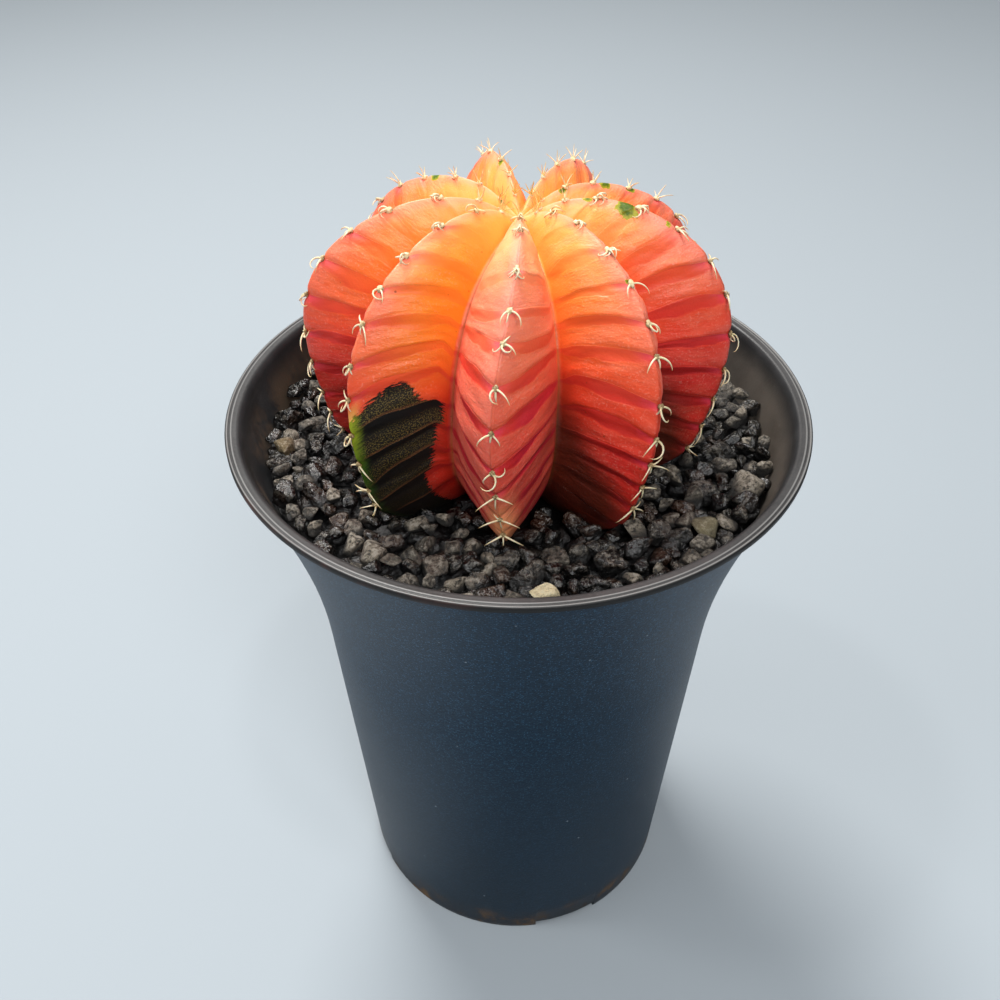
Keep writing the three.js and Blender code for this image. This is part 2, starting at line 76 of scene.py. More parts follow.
# Each rib's azimuth at half height, its turn and sway on the way down, and how much further out its crest is
RIBS = [
    (-2.7, 0, 2.6, 0, -0.012), (36.2, -4.8, 0, 0, 0.022), (76.2, -4.8, 0, 0, -0.01),
    (114, -2, 1.2, -0.055, 0), (154, 0, 1.2, -0.025, 0), (194, 2, 1.2, 0, 0), (235, 0, 1.2, -0.045, 0),
    (277, -6, 0, 0, -0.035), (315.9, 5.6, 0, 0, 0.006),
]
RIB_COUNT = len(RIBS)
FRONT_RIB = 0
PATCHED_RIB = 8
HALF_HEIGHT_POLAR = 75
# How far crests and furrows reach from the centre, every 15 degrees from the crown down
PROFILE_STEP = 15
CREST_PROFILE = np.array([17.2, 20.8, 24, 26.7, 29, 30, 29.9, 29.9, 30.5, 28.6, 25.4, 23.4, 22.7])
FURROW_PROFILE = np.array([17.2, 16.9, 17.4, 18.3, 18.9, 19.3, 19.7, 21, 22.1, 22.3, 22, 22.2, 22.7])
FURROW_LEAD = 5
# Polar angles of the areoles down each rib
COMMON_POLARS = [9.5, 18, 28, 41, 51.5, 61, 70.5, 80.5, 90.5, 99.5, 108, 116, 124]
OWN_POLARS = {
    0: [9.5, 18, 27, 42.5, 53.5, 61, 70.8, 81.5, 92.5, 100.8, 109.5, 116.5, 124],
    1: [9.5, 17, 28, 41, 51.5, 61.5, 69.2, 80.8, 89.5, 97, 104.5, 112, 121],
    2: [8, 16, 25, 37.2, 49, 60.5, 70.2, 81.2, 91.5, 101, 110, 118, 125],
    7: [8, 15, 26.5, 41, 52.2, 62.8, 74, 85.5, 95.5, 106.5, 114, 121, 127],
    8: [9.5, 20, 32.8, 45.5, 55.5, 64.5, 74.5, 83, 93, 102.2, 111.5, 117.5, 124],
}
AREOLES = [OWN_POLARS.get(rib, COMMON_POLARS) for rib in range(RIB_COUNT)]
BURIED_POLARS = [136, 155, 180]
AREOLES_SHOWN = 12
# How many areoles higher a facet's lines run half-way to the furrow and at it, high and low on the rib
LINE_BEND = {
    (0, 1): (-0.2, -0.35, 0.1, 0.1), (0, -1): (-0.15, -0.25, 0.25, 0.4), (1, -1): (0.15, 0.0, 0.32, 0.1),
    (8, 1): (0.25, 0.05, 0.5, 0.55), (2, -1): (0.15, 0.0, 0.15, 0.0), (7, 1): (0.1, 0.0, 0.1, 0.0),
}
COLUMNS_PER_FACET = 20
COLUMN_CROWDING = 1.2
BAND_ROWS = [0, 0.035, 0.075, 0.12, 0.17, 0.23, 0.3, 0.38, 0.46, 0.54, 0.62, 0.7, 0.78, 0.86, 0.93, 0.98]
CROWN_ROWS = [-0.93, -0.8, -0.65, -0.5, -0.35, -0.2, -0.1]
BURIED_ROWS = [12, 12.15, 12.3, 12.45, 12.6, 12.8, 13, 13.3, 13.6, 14, 14.4, 14.8, 14.97]
# The swellings between the areole lines: their height, where their step ends and how crisp it is
RELIEF = 0.13
DRIP = 0.3
CRISPNESS = 0.6
FOLDING = 0.22
# How far a facet bulges, a crest dips at each areole, and how much and how widely crests are worn round
BULGE = 1.1
DENT = 0.35
DENT_WIDTH = 0.13
CREST_WEAR = (0.28, 0.045)
FRONT_CREST_WEAR = (0.42, 0.075)
# How red each facet is, and how dark its lower furrow is, as corky skin and as painted shade
RUDDY = {
    (8, 1): 0.05, (8, -1): 0.3, (0, -1): 0.45, (0, 1): 0.3, (1, -1): 0.3, (1, 1): 0.6, (2, -1): 0.66,
    (2, 1): 0.8, (3, -1): 0.6, (7, 1): 0.22, (7, -1): 0.4, (4, -1): 0.3, (4, 1): 0.3, (5, -1): 0.4,
    (5, 1): 0.3, (6, -1): 0.5,
}
COMMON_RUDDY = 0.2
CORK_AND_SHADE = {(8, 1): 0.12, (0, -1): 0.15, (0, 1): 0.4, (7, 1): 0.15}
# Green flecks beside areoles: rib, side, share across the facet, place down the rib, reach in mm
FLECKS = [
    (2, -1, 0.09, 2.8, 2.1), (2, -1, 0.05, 3.78, 1.0), (1, -1, 0.03, 3.93, 0.45), (2, -1, 0.05, 1.78, 0.9),
    (3, -1, 0.05, 2.35, 1.0), (3, -1, 0.05, 0.9, 0.9), (3, -1, 0.05, 3.1, 0.9), (6, 1, 0.05, 2.6, 1.1),
    (5, 1, 0.05, 1.9, 1.0), (6, 1, 0.1, -0.1, 1.0),
]
# The spines of an areole: which way each points around it, 0 being down the rib, and how steeply it stands
CROWN_SPINES = [(0, 68), (180, 80), (120, 66), (-110, 68), (60, 76), (-50, 72)]
UPRIGHT_SPINES = [(15, 66), (165, 72), (95, 56), (-85, 60)]
HIGH_SPINES = [(84, 40), (-86, 40), (6, 38), (140, 50), (-140, 48)]
LOW_SPINES = [(94, 30), (-96, 30), (6, 40)]
SPINE_ROOT = 0.35
GRIT_CLEARANCE_HEIGHT = 99.6

# The grit and the pebbles in it
SOIL_TOP = 92
STONE_LEVEL = 98.0
BED_TOP = 95.6
BED_SIDES = 96
STONE_SIZES = [1.2, 1.55, 1.85, 2.15]
STONE_SIZE_SHARES = [0.27, 0.33, 0.26, 0.14]
STONE_TONES = [0.05, 0.25, 0.45, 0.75]
STONE_TONE_SHARES = [0.38, 0.24, 0.22, 0.16]
BURIED_TONE = 0.15
STONE_TRIES = 20000
BURIED_STONES = 420
STONE_PLANES = 8
EDGE_SHARPNESS = 70
PEBBLE_RESERVE = 1.6
# Each pebble's azimuth, distance from the axis, height, size, and its dark and pale colours
PEBBLES = [
    ("cream_pebble", 5.8, 35.1, 98.7, 1.75, (232, 204, 146), (255, 244, 206)),
    ("tan_pebble_right", 50, 33.4, 98.4, 2.1, (66, 58, 40), (132, 122, 90)),
    ("tan_pebble_left", -82, 34.7, 98.0, 2.1, (64, 52, 34), (128, 108, 70)),
]

# The photo's viewpoint in metres, and its turn in degrees
CAMERA_PLACE = (0, -0.121652, 0.189818)
CAMERA_TURN = (49.009736, 0.337338, 0.984558)
FILM_WIDTH = 36
LENS = 36
# Each lamp's place and target in metres, width, power and colour
LAMPS = {
    "window": ((-0.18, 0.34, 0.8), (0, 0, 0.11), 0.3, 7.9, (1, 0.98, 0.95)),
    "fill": ((0.2, -0.53, 0.68), (0, 0, 0.1), 0.34, 3.3, (0.98, 0.99, 1)),
    "side": ((-0.5, -0.14, 0.38), (0, 0, 0.1), 0.4, 0.9, (0.98, 0.99, 1)),
    "glint_right": ((0.12, -0.22, 0.85), (0, 0, 0.1), 0.07, 0.8, (1, 0.99, 0.97)),
    "glint_left": ((-0.32, -0.08, 0.8), (0, 0, 0.1), 0.07, 0.7, (1, 0.99, 0.97)),
}
HORIZON = (0.18, 0.21, 0.25, 1)
ZENITH = (0.96, 0.98, 1.0, 1)
SKY_STRENGTH = 0.46
FLOOR_REACH = 3.0


def linear(colour):
    """A colour from 0 to 255 a channel, in linear light and with full alpha."""
    shares = [channel / 255 for channel in colour]
    return tuple(c / 12.92 if c <= 0.04045 else ((c + 0.055) / 1.055) ** 2.4 for c in shares) + (1.0,)


def smooth(x, low, high):
    t = np.clip((x - low) / (high - low), 0, 1)
    return t * t * (3 - 2 * t)


def unit(v):
    return v / np.maximum(np.linalg.norm(v, axis=-1, keepdims=True), 1e-9)


def around(azimuth, radius, z):
    """A point at an azimuth that counts from the photo's side towards its right."""
    turn = np.radians(azimuth)
    return np.stack(np.broadcast_arrays(radius * np.sin(turn), -radius * np.cos(turn), z), -1)


def grid_faces(rows, columns, closed):
    """The four-sided faces between rings of points, with the last ring joined to the first where closed."""
    i, j = np.meshgrid(np.arange(rows if closed else rows - 1), np.arange(columns), indexing="ij")
    here = i * columns
    below = (i + 1) % rows * columns
    beside = (j + 1) % columns
    return np.stack([here + j, below + j, below + beside, here + beside], -1).reshape(-1, 4)


def add_object(name, data):
    item = bpy.data.objects.new(name, data)
    bpy.context.scene.collection.objects.link(item)
    return item


def piece(name, vertices, faces, material, slot, **attributes):
    mesh = bpy.data.meshes.new(name)
    mesh.from_pydata((np.asarray(vertices, dtype=np.float32) * MM).tolist(), [], faces.tolist())
    mesh.validate()
    mesh.shade_smooth()
    for key, values in attributes.items():
        layer = mesh.attributes.new(key, "FLOAT", "POINT")
        layer.data.foreach_set("value", np.asarray(values, dtype=np.float32).ravel())
    item = add_object(name, mesh)
    mesh.materials.append(material)
    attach(item, "root")
    return item


class Heap:
    """Many small shapes gathered into one piece, with a value of each attribute for each point."""

    def __init__(self):
        self.points = []
        self.faces = []
        self.attributes = {}
        self.total = 0

    def add(self, points, faces, **attributes):
        self.points.append(points)
        self.faces.append(faces + self.total)
        self.total += len(points)
        for key, value in attributes.items():
            self.attributes.setdefault(key, []).append(np.broadcast_to(value, len(points)))

    def piece(self, name, material, slot):
        attributes = {key: np.concatenate(values) for key, values in self.attributes.items()}
        points = np.concatenate(self.points)
        return piece(name, points, np.concatenate(self.faces), material, slot, **attributes)


class Shader:
    """A node material under construction. Colours are red, green and blue from 0 to 255."""

    def __init__(self, name):
        self.material = bpy.data.materials.new(name)
        self.material.use_nodes = True
        self.tree = self.material.node_tree
        self.surface = self.tree.nodes["Principled BSDF"]
        self.colour = None

    def put(self, socket, value):
        if isinstance(value, bpy.types.NodeSocket):
            self.tree.links.new(value, socket)
        else:
            socket.default_value = linear(value) if isinstance(value, tuple) else value

    def node(self, kind, inputs=(), **settings):
        """The outputs of a new node, whose inputs are given as pairs of a name or place and a value."""
        made = self.tree.nodes.new("ShaderNode" + kind)
        for key, value in settings.items():
            setattr(made, key, value)
        for key, value in inputs:
            self.put(made.inputs[key], value)
        return made.outputs

    def math(self, operation, *values):
        return self.node("Math", enumerate(values), operation=operation)[0]

    def chain(self, operation, values):
        result = values[0]
        for value in values[1:]:
            result = self.math(operation, result, value)
        return result

    def times(self, *values):
        return self.chain("MULTIPLY", values)

    def plus(self, *values):
        return self.chain("ADD", values)

    def less(self, a, b):
        return self.math("SUBTRACT", a, b)

    def rest(self, share):
        return self.math("SUBTRACT", 1.0, share)

    def ease(self, x, low, high, to_low=0.0, to_high=1.0, kind="SMOOTHSTEP"):
        """The value's way from low to high, mapped to a new range and held at its ends."""
        names = ("Value", "From Min", "From Max", "To Min", "To Max")
        inputs = zip(names, (x, low, high, to_low, to_high))
        return self.node("MapRange", inputs, interpolation_type=kind)["Result"]

    def line(self, x, low, high, to_low=0.0, to_high=1.0):
        return self.ease(x, low, high, to_low, to_high, "LINEAR")

    def ramp(self, x, stops):
        made = self.tree.nodes.new("ShaderNodeValToRGB")
        elements = made.color_ramp.elements
        while len(elements) < len(stops):
            elements.new(0.5)
        for element, (place, colour) in zip(elements, stops):
            element.position = place
            element.color = colour
        self.put(made.inputs[0], x)
        return made.outputs[0]

    def colours(self, x, *stops):
        """The colours in turn along the value, each given after its place."""
        return self.ramp(x, [(place, linear(colour)) for place, *colour in stops])

    def curve(self, x, *stops):
        return self.split(self.ramp(x, [(place, (value,) * 3 + (1,)) for place, value in stops]))[0]

    def mix(self, share, a, b):
        inputs = (("Factor", share), (6, a), (7, b))
        return self.node("Mix", inputs, data_type="RGBA")[2]

    def coat(self, colour, *shares):
        """Lays a colour over the one so far, by the product of the shares."""
        self.colour = self.mix(self.times(*shares), self.colour, colour)

    def attribute(self, name):
        return self.node("Attribute", attribute_name=name)["Fac"]

    def vector(self, x, y, z):
        return self.node("CombineXYZ", enumerate((x, y, z)))[0]

    def place(self):
        return self.node("TexCoord")["Object"]

    def split(self, vector):
        return self.node("SeparateXYZ", [(0, vector)])

    def noise(self, vector, scale, detail=3.0, roughness=0.5):
        inputs = (("Vector", vector), ("Scale", scale), ("Detail", detail), ("Roughness", roughness))
        return self.node("TexNoise", inputs)["Fac"]

    def cells(self, vector, scale):
        return self.node("TexVoronoi", (("Vector", vector), ("Scale", scale)))

    def bump(self, height, distance, strength):
        inputs = (("Strength", strength), ("Distance", distance), ("Height", height))
        return self.node("Bump", inputs)[0]

    def finish(self, **values):
        """The material, in the colour so far and with the values given for the surface."""
        for key, value in {"Base_Color": self.colour, **values}.items():
            self.put(self.surface.inputs[key.replace("_", " ")], value)
        return self.material


def facet_colours(s, across, polar, order, band, ruddy, front, place):
    """The skin's colours: its areole lines, its gold, its red, its waxy sheen partly painted as a paler
    colour, and painted light on the front rib's foot.
    """
    cloud = s.noise(place, 110, 3, 0.55)
    blotch = s.noise(place, 330, 3, 0.55)
    veil = s.noise(s.vector(s.times(across, 2.2), s.times(order, 2), s.times(ruddy, 30)), 1.4, 3, 0.55)
    # Peach at the crown through orange to red at the foot, redder on some facets
    redder = s.times(s.less(ruddy, 0.25), s.ease(polar, 0.2, 0.6), 0.22)
    height = s.plus(polar, s.times(s.less(cloud, 0.5), 0.22), redder)
    skin = s.colours(height, (0, 249, 182, 112), (0.22, 250, 170, 90), (0.4, 250, 148, 76),
                     (0.56, 238, 108, 54), (0.74, 226, 78, 38), (0.92, 222, 54, 32), (1, 202, 38, 30))
    pale = s.colours(height, (0, 250, 198, 152), (0.3, 250, 192, 144), (0.55, 240, 142, 108),
                     (0.8, 234, 112, 84), (1, 224, 88, 68))
    line = s.colours(height, (0, 244, 150, 84), (0.35, 244, 116, 68), (0.6, 230, 74, 48),
                     (0.85, 206, 38, 38), (1, 164, 22, 26))
    # Below each line of areoles lies a smooth red strip, widest at mid facet, and then a waxy sheen, whose
    # paler colour is partly the skin's own and partly painted sheen
    bell = s.times(4, across, s.rest(across))
    edge = s.plus(0.14, s.times(bell, 0.24), s.times(s.less(veil, 0.5), 0.4))
    sheen = s.times(s.ease(s.less(band, edge), -0.04, 0.06), s.ease(band, 1, 0.9))
    inner = s.ease(across, 0.95, 0.6)
    pale_and_sheen = s.times(sheen, inner, s.ease(veil, 0.3, 0.7), s.ease(polar, 1, 0.6, 0.28, 0.45),
                   s.line(ruddy, 0, 0.7, 0.55, 1.4))
    s.colour = s.mix(pale_and_sheen, skin, pale)
    s.coat(pale, s.ease(across, 0.3, 0), s.ease(polar, 1.15, 0.5), 0.3)
    # Gold in the upper furrows
    gold_low = s.line(ruddy, 0, 0.7, 0.9, 0.5)
    gold = s.times(s.ease(across, 0.06, s.plus(0.55, s.times(ruddy, 0.8))), s.ease(across, 1, 0.94, 0.45, 1),
                   s.ease(s.less(polar, gold_low), 0.08, -0.3), s.line(front, 0, 1, 1, 0.25))
    s.coat(s.mix(s.ease(polar, 0.12, 0.5), (249, 180, 82), (236, 130, 26)), gold,
           s.ease(ruddy, 0.05, 0.3, 0.92, 0.6))
    s.coat(pale, front, s.ease(polar, 0.76, 0.54), 0.6)
    s.coat((196, 44, 22), s.ease(across, 0.55, 1), s.ease(polar, 0.72, 0.98), 0.6)
    strip = s.times(s.ease(s.less(band, edge), 0.04, -0.05), s.ease(across, 0, 0.08),
                    s.ease(polar, 0.25, 0.8), s.rest(s.times(front, s.ease(polar, 0.46, 0.36), 0.85)))
    s.coat(line, strip, s.ease(gold, 0, 1, 0.68, 0.35), s.plus(0.8, s.times(ruddy, 0.4)))
    # Pink along the crests, with a deeper blush by the areoles
    s.coat((246, 142, 128), s.ease(across, 0.3, 0), s.ease(polar, 0.05, 0.2), s.ease(polar, 0.8, 0.4),
           s.plus(0.3, s.times(ruddy, 0.5)))
    s.coat((226, 62, 92), s.ease(across, 0.3, 0.02), s.ease(band, 0.36, 0.04), s.ease(blotch, 0.36, 0.6),
           s.ease(polar, 0.15, 0.4), 0.6)
    # The front rib is rosier, with crimson strips, a pale crest and a foot painted paler to stand in for
    # light from below
    s.coat((238, 132, 112), front, s.ease(polar, 0.35, 0.6), sheen, s.ease(ruddy, 0.2, 0.45, 0.3, 1), 0.4)
    s.coat((200, 36, 56), front, s.ease(polar, 0.6, 0.9), s.rest(sheen), s.ease(across, 0.1, 0.4), 0.75)
    s.coat((244, 164, 164), s.ease(across, 0.05, 0.015), s.ease(polar, 0.68, 0.45),
           s.ease(blotch, 0.35, 0.6, 0.2, 1), s.plus(0.03, s.times(front, 0.2)))
    # Painted light: the front rib's foot made paler where light from below would reach it
    s.coat((252, 172, 116), front, s.ease(across, 0.4, 0), s.ease(polar, 0.98, 1.15), 0.9)
    return sheen, inner, veil, cloud, blotch


def patch_colours(s, across, polar, order, band, patch, veil):
    """The dark green patch, with a bright green edge on the crest, and how far it covers the skin."""
    jag = s.less(s.noise(s.vector(s.times(across, 7), s.times(order, 9), 0), 1.7, 4, 0.62), 0.5)
    down = s.math("DIVIDE", s.less(order, 7), 5)
    reach = s.curve(down, (0.05, 0.52), (0.19, 0.7), (0.205, 0.9), (0.39, 0.9), (0.41, 0.84), (0.59, 0.82),
                    (0.61, 0.79), (0.8, 0.75), (0.82, 0.66))
    start = s.line(patch, 0.02, 0.36, 7.62, 7.28)
    inside = s.times(s.ease(s.less(s.plus(order, s.times(jag, 0.75)), start), -0.02, 0.05),
                     s.ease(s.less(reach, s.plus(patch, s.times(jag, 0.3))), -0.012, 0.016),
                     s.ease(patch, -0.09, -0.05))
    dots = s.noise(s.vector(s.times(across, 30), s.times(polar, 120), 0), 2.3, 2, 0.5)
    dotted = s.times(s.ease(dots, 0.5, 0.6), s.ease(band, 0.2, 0.7), s.ease(down, 1.15, 0.1, 0.1, 0.85))
    dark = s.mix(dotted, (9, 6, 4), (112, 94, 44))
    dark = s.mix(s.ease(band, 0.4, 0.1, 0, 0.8), dark, (9, 6, 4))
    ridge = s.times(s.ease(band, 0.86, 0.97), s.ease(patch, 0.02, 0.2), s.ease(veil, 0.3, 0.6, 0.5, 1))
    dark = s.mix(s.times(ridge, 0.6), dark, (112, 66, 38))
    green_share = s.times(s.ease(s.plus(patch, s.times(jag, 0.16)), 0.15, 0),
                          s.ease(down, 0.8, 0.35, 0.25, 1))
    dark = s.mix(green_share, dark, s.mix(s.ease(down, 0.1, 0.5), (158, 172, 34), (58, 96, 14)))
    s.coat((236, 190, 92), s.ease(s.less(order, start), -0.55, -0.02), s.ease(patch, 0.15, 0.03),
           s.ease(patch, -0.06, -0.02), 0.75)
    s.coat((150, 50, 30), s.ease(s.less(patch, reach), 0.2, 0), s.ease(down, 0.1, 0.35),
           s.ease(patch, 1.5, 1.1), 0.35)
    s.coat(dark, inside)
    return inside


def skin_material():
    s = Shader("cactus_skin")
    facts = ("across", "polar", "order", "band", "patch", "ruddy", "front")
    across, polar, order, band, patch, ruddy, front = map(s.attribute, facts)
    place = s.place()
    wrinkles = s.noise(s.vector(s.times(across, 4), s.times(polar, 36), s.times(ruddy, 30)), 3, 3, 0.6)
    pebbles = s.noise(place, 3400, 2, 0.6)
    sheen, inner, veil, cloud, blotch = facet_colours(s, across, polar, order, band, ruddy, front, place)
    # Pale specks on the sheen: painted highlights on the fine wrinkles
    s.coat((255, 204, 180), s.ease(pebbles, 0.52, 0.7), s.ease(wrinkles, 0.32, 0.6), sheen, inner,
           s.ease(polar, 0.25, 0.5), 0.17)
    s.coat((204, 98, 40), s.ease(across, 0.965, 1), s.ease(polar, 0.15, 0.4), 0.6)
    inside = patch_colours(s, across, polar, order, band, patch, veil)
    # Small ragged green flecks beside some areoles
    grain = s.noise(place, 1100, 3, 0.6)
    ragged = s.plus(s.times(s.less(blotch, 0.5), 1.4), s.times(s.less(grain, 0.5), 1.1))
    fleck = s.plus(s.attribute("fleck"), ragged)
    s.coat(s.mix(s.ease(fleck, 0.42, 0.85), (164, 160, 36), (78, 104, 8)), s.ease(fleck, 0.34, 0.42))
    # Brown specks scattered over the skin and thick along the furrows
    speck = s.cells(place, 1300)
    speck_share = s.plus(0.02, s.times(s.ease(across, 0.9, 1), 0.22))
    s.coat((120, 50, 16), s.ease(speck["Distance"], 0.26, 0.1),
           s.ease(s.split(speck["Color"])[0], speck_share, 0), 0.7)
    # Deep in the lower furrows the skin is darkened, partly as corky skin and partly as painted shade
    low_and_deep = s.plus(polar, s.times(across, 0.35), s.times(s.less(cloud, 0.5), 0.2))
    s.coat((52, 28, 15), s.ease(low_and_deep, 1.07, 1.33), s.attribute("cork_and_shade"), 0.88)

    waves = s.times(wrinkles, sheen, inner, s.ease(polar, 0.15, 0.4), s.rest(inside))
    normal = s.bump(s.plus(waves, s.times(pebbles, 0.4)), 0.00013, 0.9)
    rough = s.plus(s.line(sheen, 0, 1, 0.44, 0.37), s.times(inside, 0.24))
    material = s.finish(Roughness=rough, Normal=normal, Subsurface_Weight=0.16, Subsurface_Scale=0.003,
                        Specular_IOR_Level=0.3)
    s.surface.inputs["Subsurface Radius"].default_value = (1, 0.35, 0.12)
    return material


def spine_material():
    s = Shader("spine")
    along = s.attribute("along")
    s.colour = s.colours(along, (0, 132, 104, 62), (0.12, 206, 184, 136), (0.5, 236, 224, 192),
                         (1, 208, 178, 126))
    golden = s.colours(along, (0, 244, 226, 166), (0.4, 238, 204, 124), (1, 196, 148, 80))
    s.coat(golden, s.attribute("young"))
    grain = s.noise(s.place(), 1500, 2)
    s.coat((176, 140, 88), s.ease(grain, 0.45, 0.7), 0.3)
    return s.finish(Roughness=0.42, Normal=s.bump(grain, 0.00004, 0.4), Subsurface_Weight=0.1,
                    Subsurface_Scale=0.001)


def wool_material():
    s = Shader("areole_wool")
    fluff = s.noise(s.place(), 2600, 4, 0.7)
    old = s.colours(fluff, (0.3, 84, 66, 40), (0.5, 142, 118, 80), (0.7, 206, 186, 146))
    new = s.colours(fluff, (0.3, 206, 172, 108), (0.5, 236, 216, 168), (0.7, 250, 240, 212))
    s.colour = s.mix(s.attribute("young"), old, new)
    return s.finish(Roughness=0.95, Normal=s.bump(fluff, 0.0002, 0.8))


def stone_material(name, dark, pale, shine, painted_shade=0.9):
    s = Shader(name)
    tone = s.attribute("tone")
    lift = s.attribute("lift")
    place = s.place()
    pits = s.noise(place, 1500, 5, 0.75)
    cloud = s.noise(place, 420, 3, 0.6)
    tint = s.noise(place, 170, 2, 0.5)
    worn = s.ease(s.plus(s.times(tone, 0.9), s.times(cloud, 0.4)), 0.3, 1.05)
    s.colour = s.mix(worn, dark, pale)
    s.coat((74, 46, 30), s.ease(tint, 0.52, 0.66), 0.4)
    # Broken dusty patches on the upper faces that also serve as painted highlights, dark pits painted as
    # shade in the hollows, and undersides darkened as damp and as painted shade
    painted_light = s.times(s.ease(lift, 0, 0.6), s.ease(pits, 0.5, 0.58), s.line(tone, 0, 0.8, 0.12, 0.85))
    s.coat(s.mix(0.35, pale, (210, 204, 194)), painted_light)
    s.coat((4, 4, 4), s.ease(pits, 0.48, 0.41), painted_shade)
    s.coat((3, 3, 3), s.ease(lift, 0.5, 0), painted_shade)
    wet = s.ease(s.plus(s.times(cloud, 0.7), s.times(tone, 0.6)), 0.4, 0.8, shine, 0.6)
    rough = s.plus(wet, s.ease(lift, 0.3, -0.2, 0, 0.3))
    ripples = s.noise(place, 800, 2, 0.5)
    height = s.plus(ripples, s.times(pits, s.ease(tone, 0, 0.6, 0.2, 0.9)))
    return s.finish(Roughness=rough, Normal=s.bump(height, 0.0007, 1), Specular_IOR_Level=0.65)


def soil_material():
    s = Shader("soil")
    crumbs = s.noise(s.place(), 700, 6, 0.7)
    s.colour = s.colours(crumbs, (0.3, 28, 20, 14), (0.55, 62, 46, 32), (0.75, 104, 80, 56))
    return s.finish(Roughness=0.95, Normal=s.bump(crumbs, 0.0008, 0.9))


def pot_outside_material():
    """Slate-blue plastic full of fine flakes, with a few marks, painted shade just under the lip and muddy at
    the foot.
    """
    s = Shader("pot_outside")
    place = s.place()
    z = s.times(s.split(place)[2], 1000)
    cloud = s.noise(place, 26, 3, 0.5)
    s.colour = s.mix(s.line(z, 6, 100), (4, 17, 26), (8, 32, 50))
    s.coat((12, 38, 58), s.ease(cloud, 0.35, 0.7), 0.35)
    flakes = s.cells(place, 4300)
    tint, shade = s.split(flakes["Color"])[:2]
    clear = s.ease(z, 20, 95, 0.3, 1)
    glint = s.times(s.ease(tint, 0.5, 0.95), s.ease(flakes["Distance"], 0.65, 0.25), clear)
    s.coat((70, 116, 150), glint, 0.5)
    s.coat((2, 8, 14), s.ease(shade, 0.45, 0.1), clear, 0.8)
    crumb = s.cells(place, 900)
    mark = s.times(s.ease(s.split(crumb["Color"])[0], 0.97, 0.99), s.ease(crumb["Distance"], 0.2, 0.08))
    s.coat((150, 165, 176), mark, 0.6)
    s.coat((104, 118, 128), s.ease(s.noise(place, 420, 5, 0.75), 0.66, 0.74), s.ease(cloud, 0.5, 0.65), 0.4)
    # Painted shade just under the lip
    s.coat((4, 5, 6), s.ease(z, 103, 103.5))
    soil = s.noise(place, 140, 5, 0.65)
    s.coat((34, 26, 20), s.ease(z, 9, 0.5), s.ease(soil, 0.3, 0.5), 0.75)
    mud = s.times(s.ease(z, 8, 0.5), s.ease(soil, 0.5, 0.64))
    s.coat((124, 94, 58), mud, 0.75)
    grain = s.noise(place, 3200, 3, 0.6)
    rough = s.plus(0.38, s.times(cloud, 0.12), s.times(mud, 0.3))
    return s.finish(Roughness=rough, Normal=s.bump(grain, 0.00006, 0.6), Specular_Tint=(104, 184, 240),
                    Specular_IOR_Level=0.34)


def pot_inside_material():
    """Dark grey plastic with dust and dirt inside, light painted on the upper right of the inside wall, a lip
    face painted dark as shade, and two painted highlight lines on the rim.
    """
    s = Shader("pot_rim_and_inside")
    place = s.place()
    x, y, height = s.split(place)
    z = s.times(height, 1000)
    from_axis = s.times(s.math("SQRT", s.plus(s.times(x, x), s.times(y, y))), 1000)
    cloud = s.noise(place, 90, 4, 0.6)
    s.colour = s.mix(s.ease(cloud, 0.35, 0.7), (34, 35, 36), (50, 51, 52))
    dirt_patch = s.noise(place, 75, 5, 0.7)
    left = s.ease(x, 0.012, -0.03)
    dirt = s.times(s.ease(z, 103.2, 99), s.ease(dirt_patch, 0.42, 0.6), s.plus(0.25, s.times(left, 0.6)))
    s.coat((84, 66, 46), dirt, 0.7)
    # Painted light: the inside wall lighter towards the right and the top
    painted_light = s.times(s.ease(x, 0.005, 0.035), s.ease(z, 104, 100), s.ease(cloud, 0.3, 0.6, 0.6, 1))
    s.coat((112, 103, 92), painted_light, 0.4)
    grain = s.noise(place, 2400, 3, 0.6)
    top = s.ease(z, POT_HEIGHT - 0.3, POT_HEIGHT - 0.14)
    s.coat((62, 60, 59), top, s.ease(grain, 0.3, 0.7, 0.2, 0.6))
    s.coat((128, 128, 128), s.ease(s.noise(place, 600, 4, 0.8), 0.66, 0.76), 0.3)
    # The lip's outer face is painted near-black as shade, with a reddish-brown stain towards the left
    side = s.ease(from_axis, RIM_RADIUS - 0.2, RIM_RADIUS - 0.08)
    stain_and_shade = s.mix(s.times(s.ease(dirt_patch, 0.45, 0.6), left), (9, 8, 8), (58, 28, 22))
    s.coat(stain_and_shade, side, 0.95)
    # Painted highlights along the rim's ridges
    for inset, width, share in RIM_HIGHLIGHTS:
        off = s.math("ABSOLUTE", s.less(from_axis, RIM_RADIUS - inset))
        line = s.times(s.ease(off, width, 0.3 * width), s.ease(z, POT_HEIGHT - 0.12, POT_HEIGHT - 0.06))
        s.coat((150, 150, 148), line, share)
    rough = s.plus(0.34, s.times(cloud, 0.14), s.times(dirt, 0.5), s.times(side, 0.15))
    return s.finish(Roughness=rough, Normal=s.bump(grain, 0.00005, 0.5), Specular_IOR_Level=0.38)


def pot_radius(z):
    straight = FOOT_RADIUS + WALL_TAPER * z
    flare = RIM_RADIUS - LIP_OVERHANG - FOOT_RADIUS - WALL_TAPER * POT_HEIGHT
    share = np.clip((z - FLARE_START) / (POT_HEIGHT - FLARE_START), 0, 1)
    return straight + flare * share ** FLARE_POWER


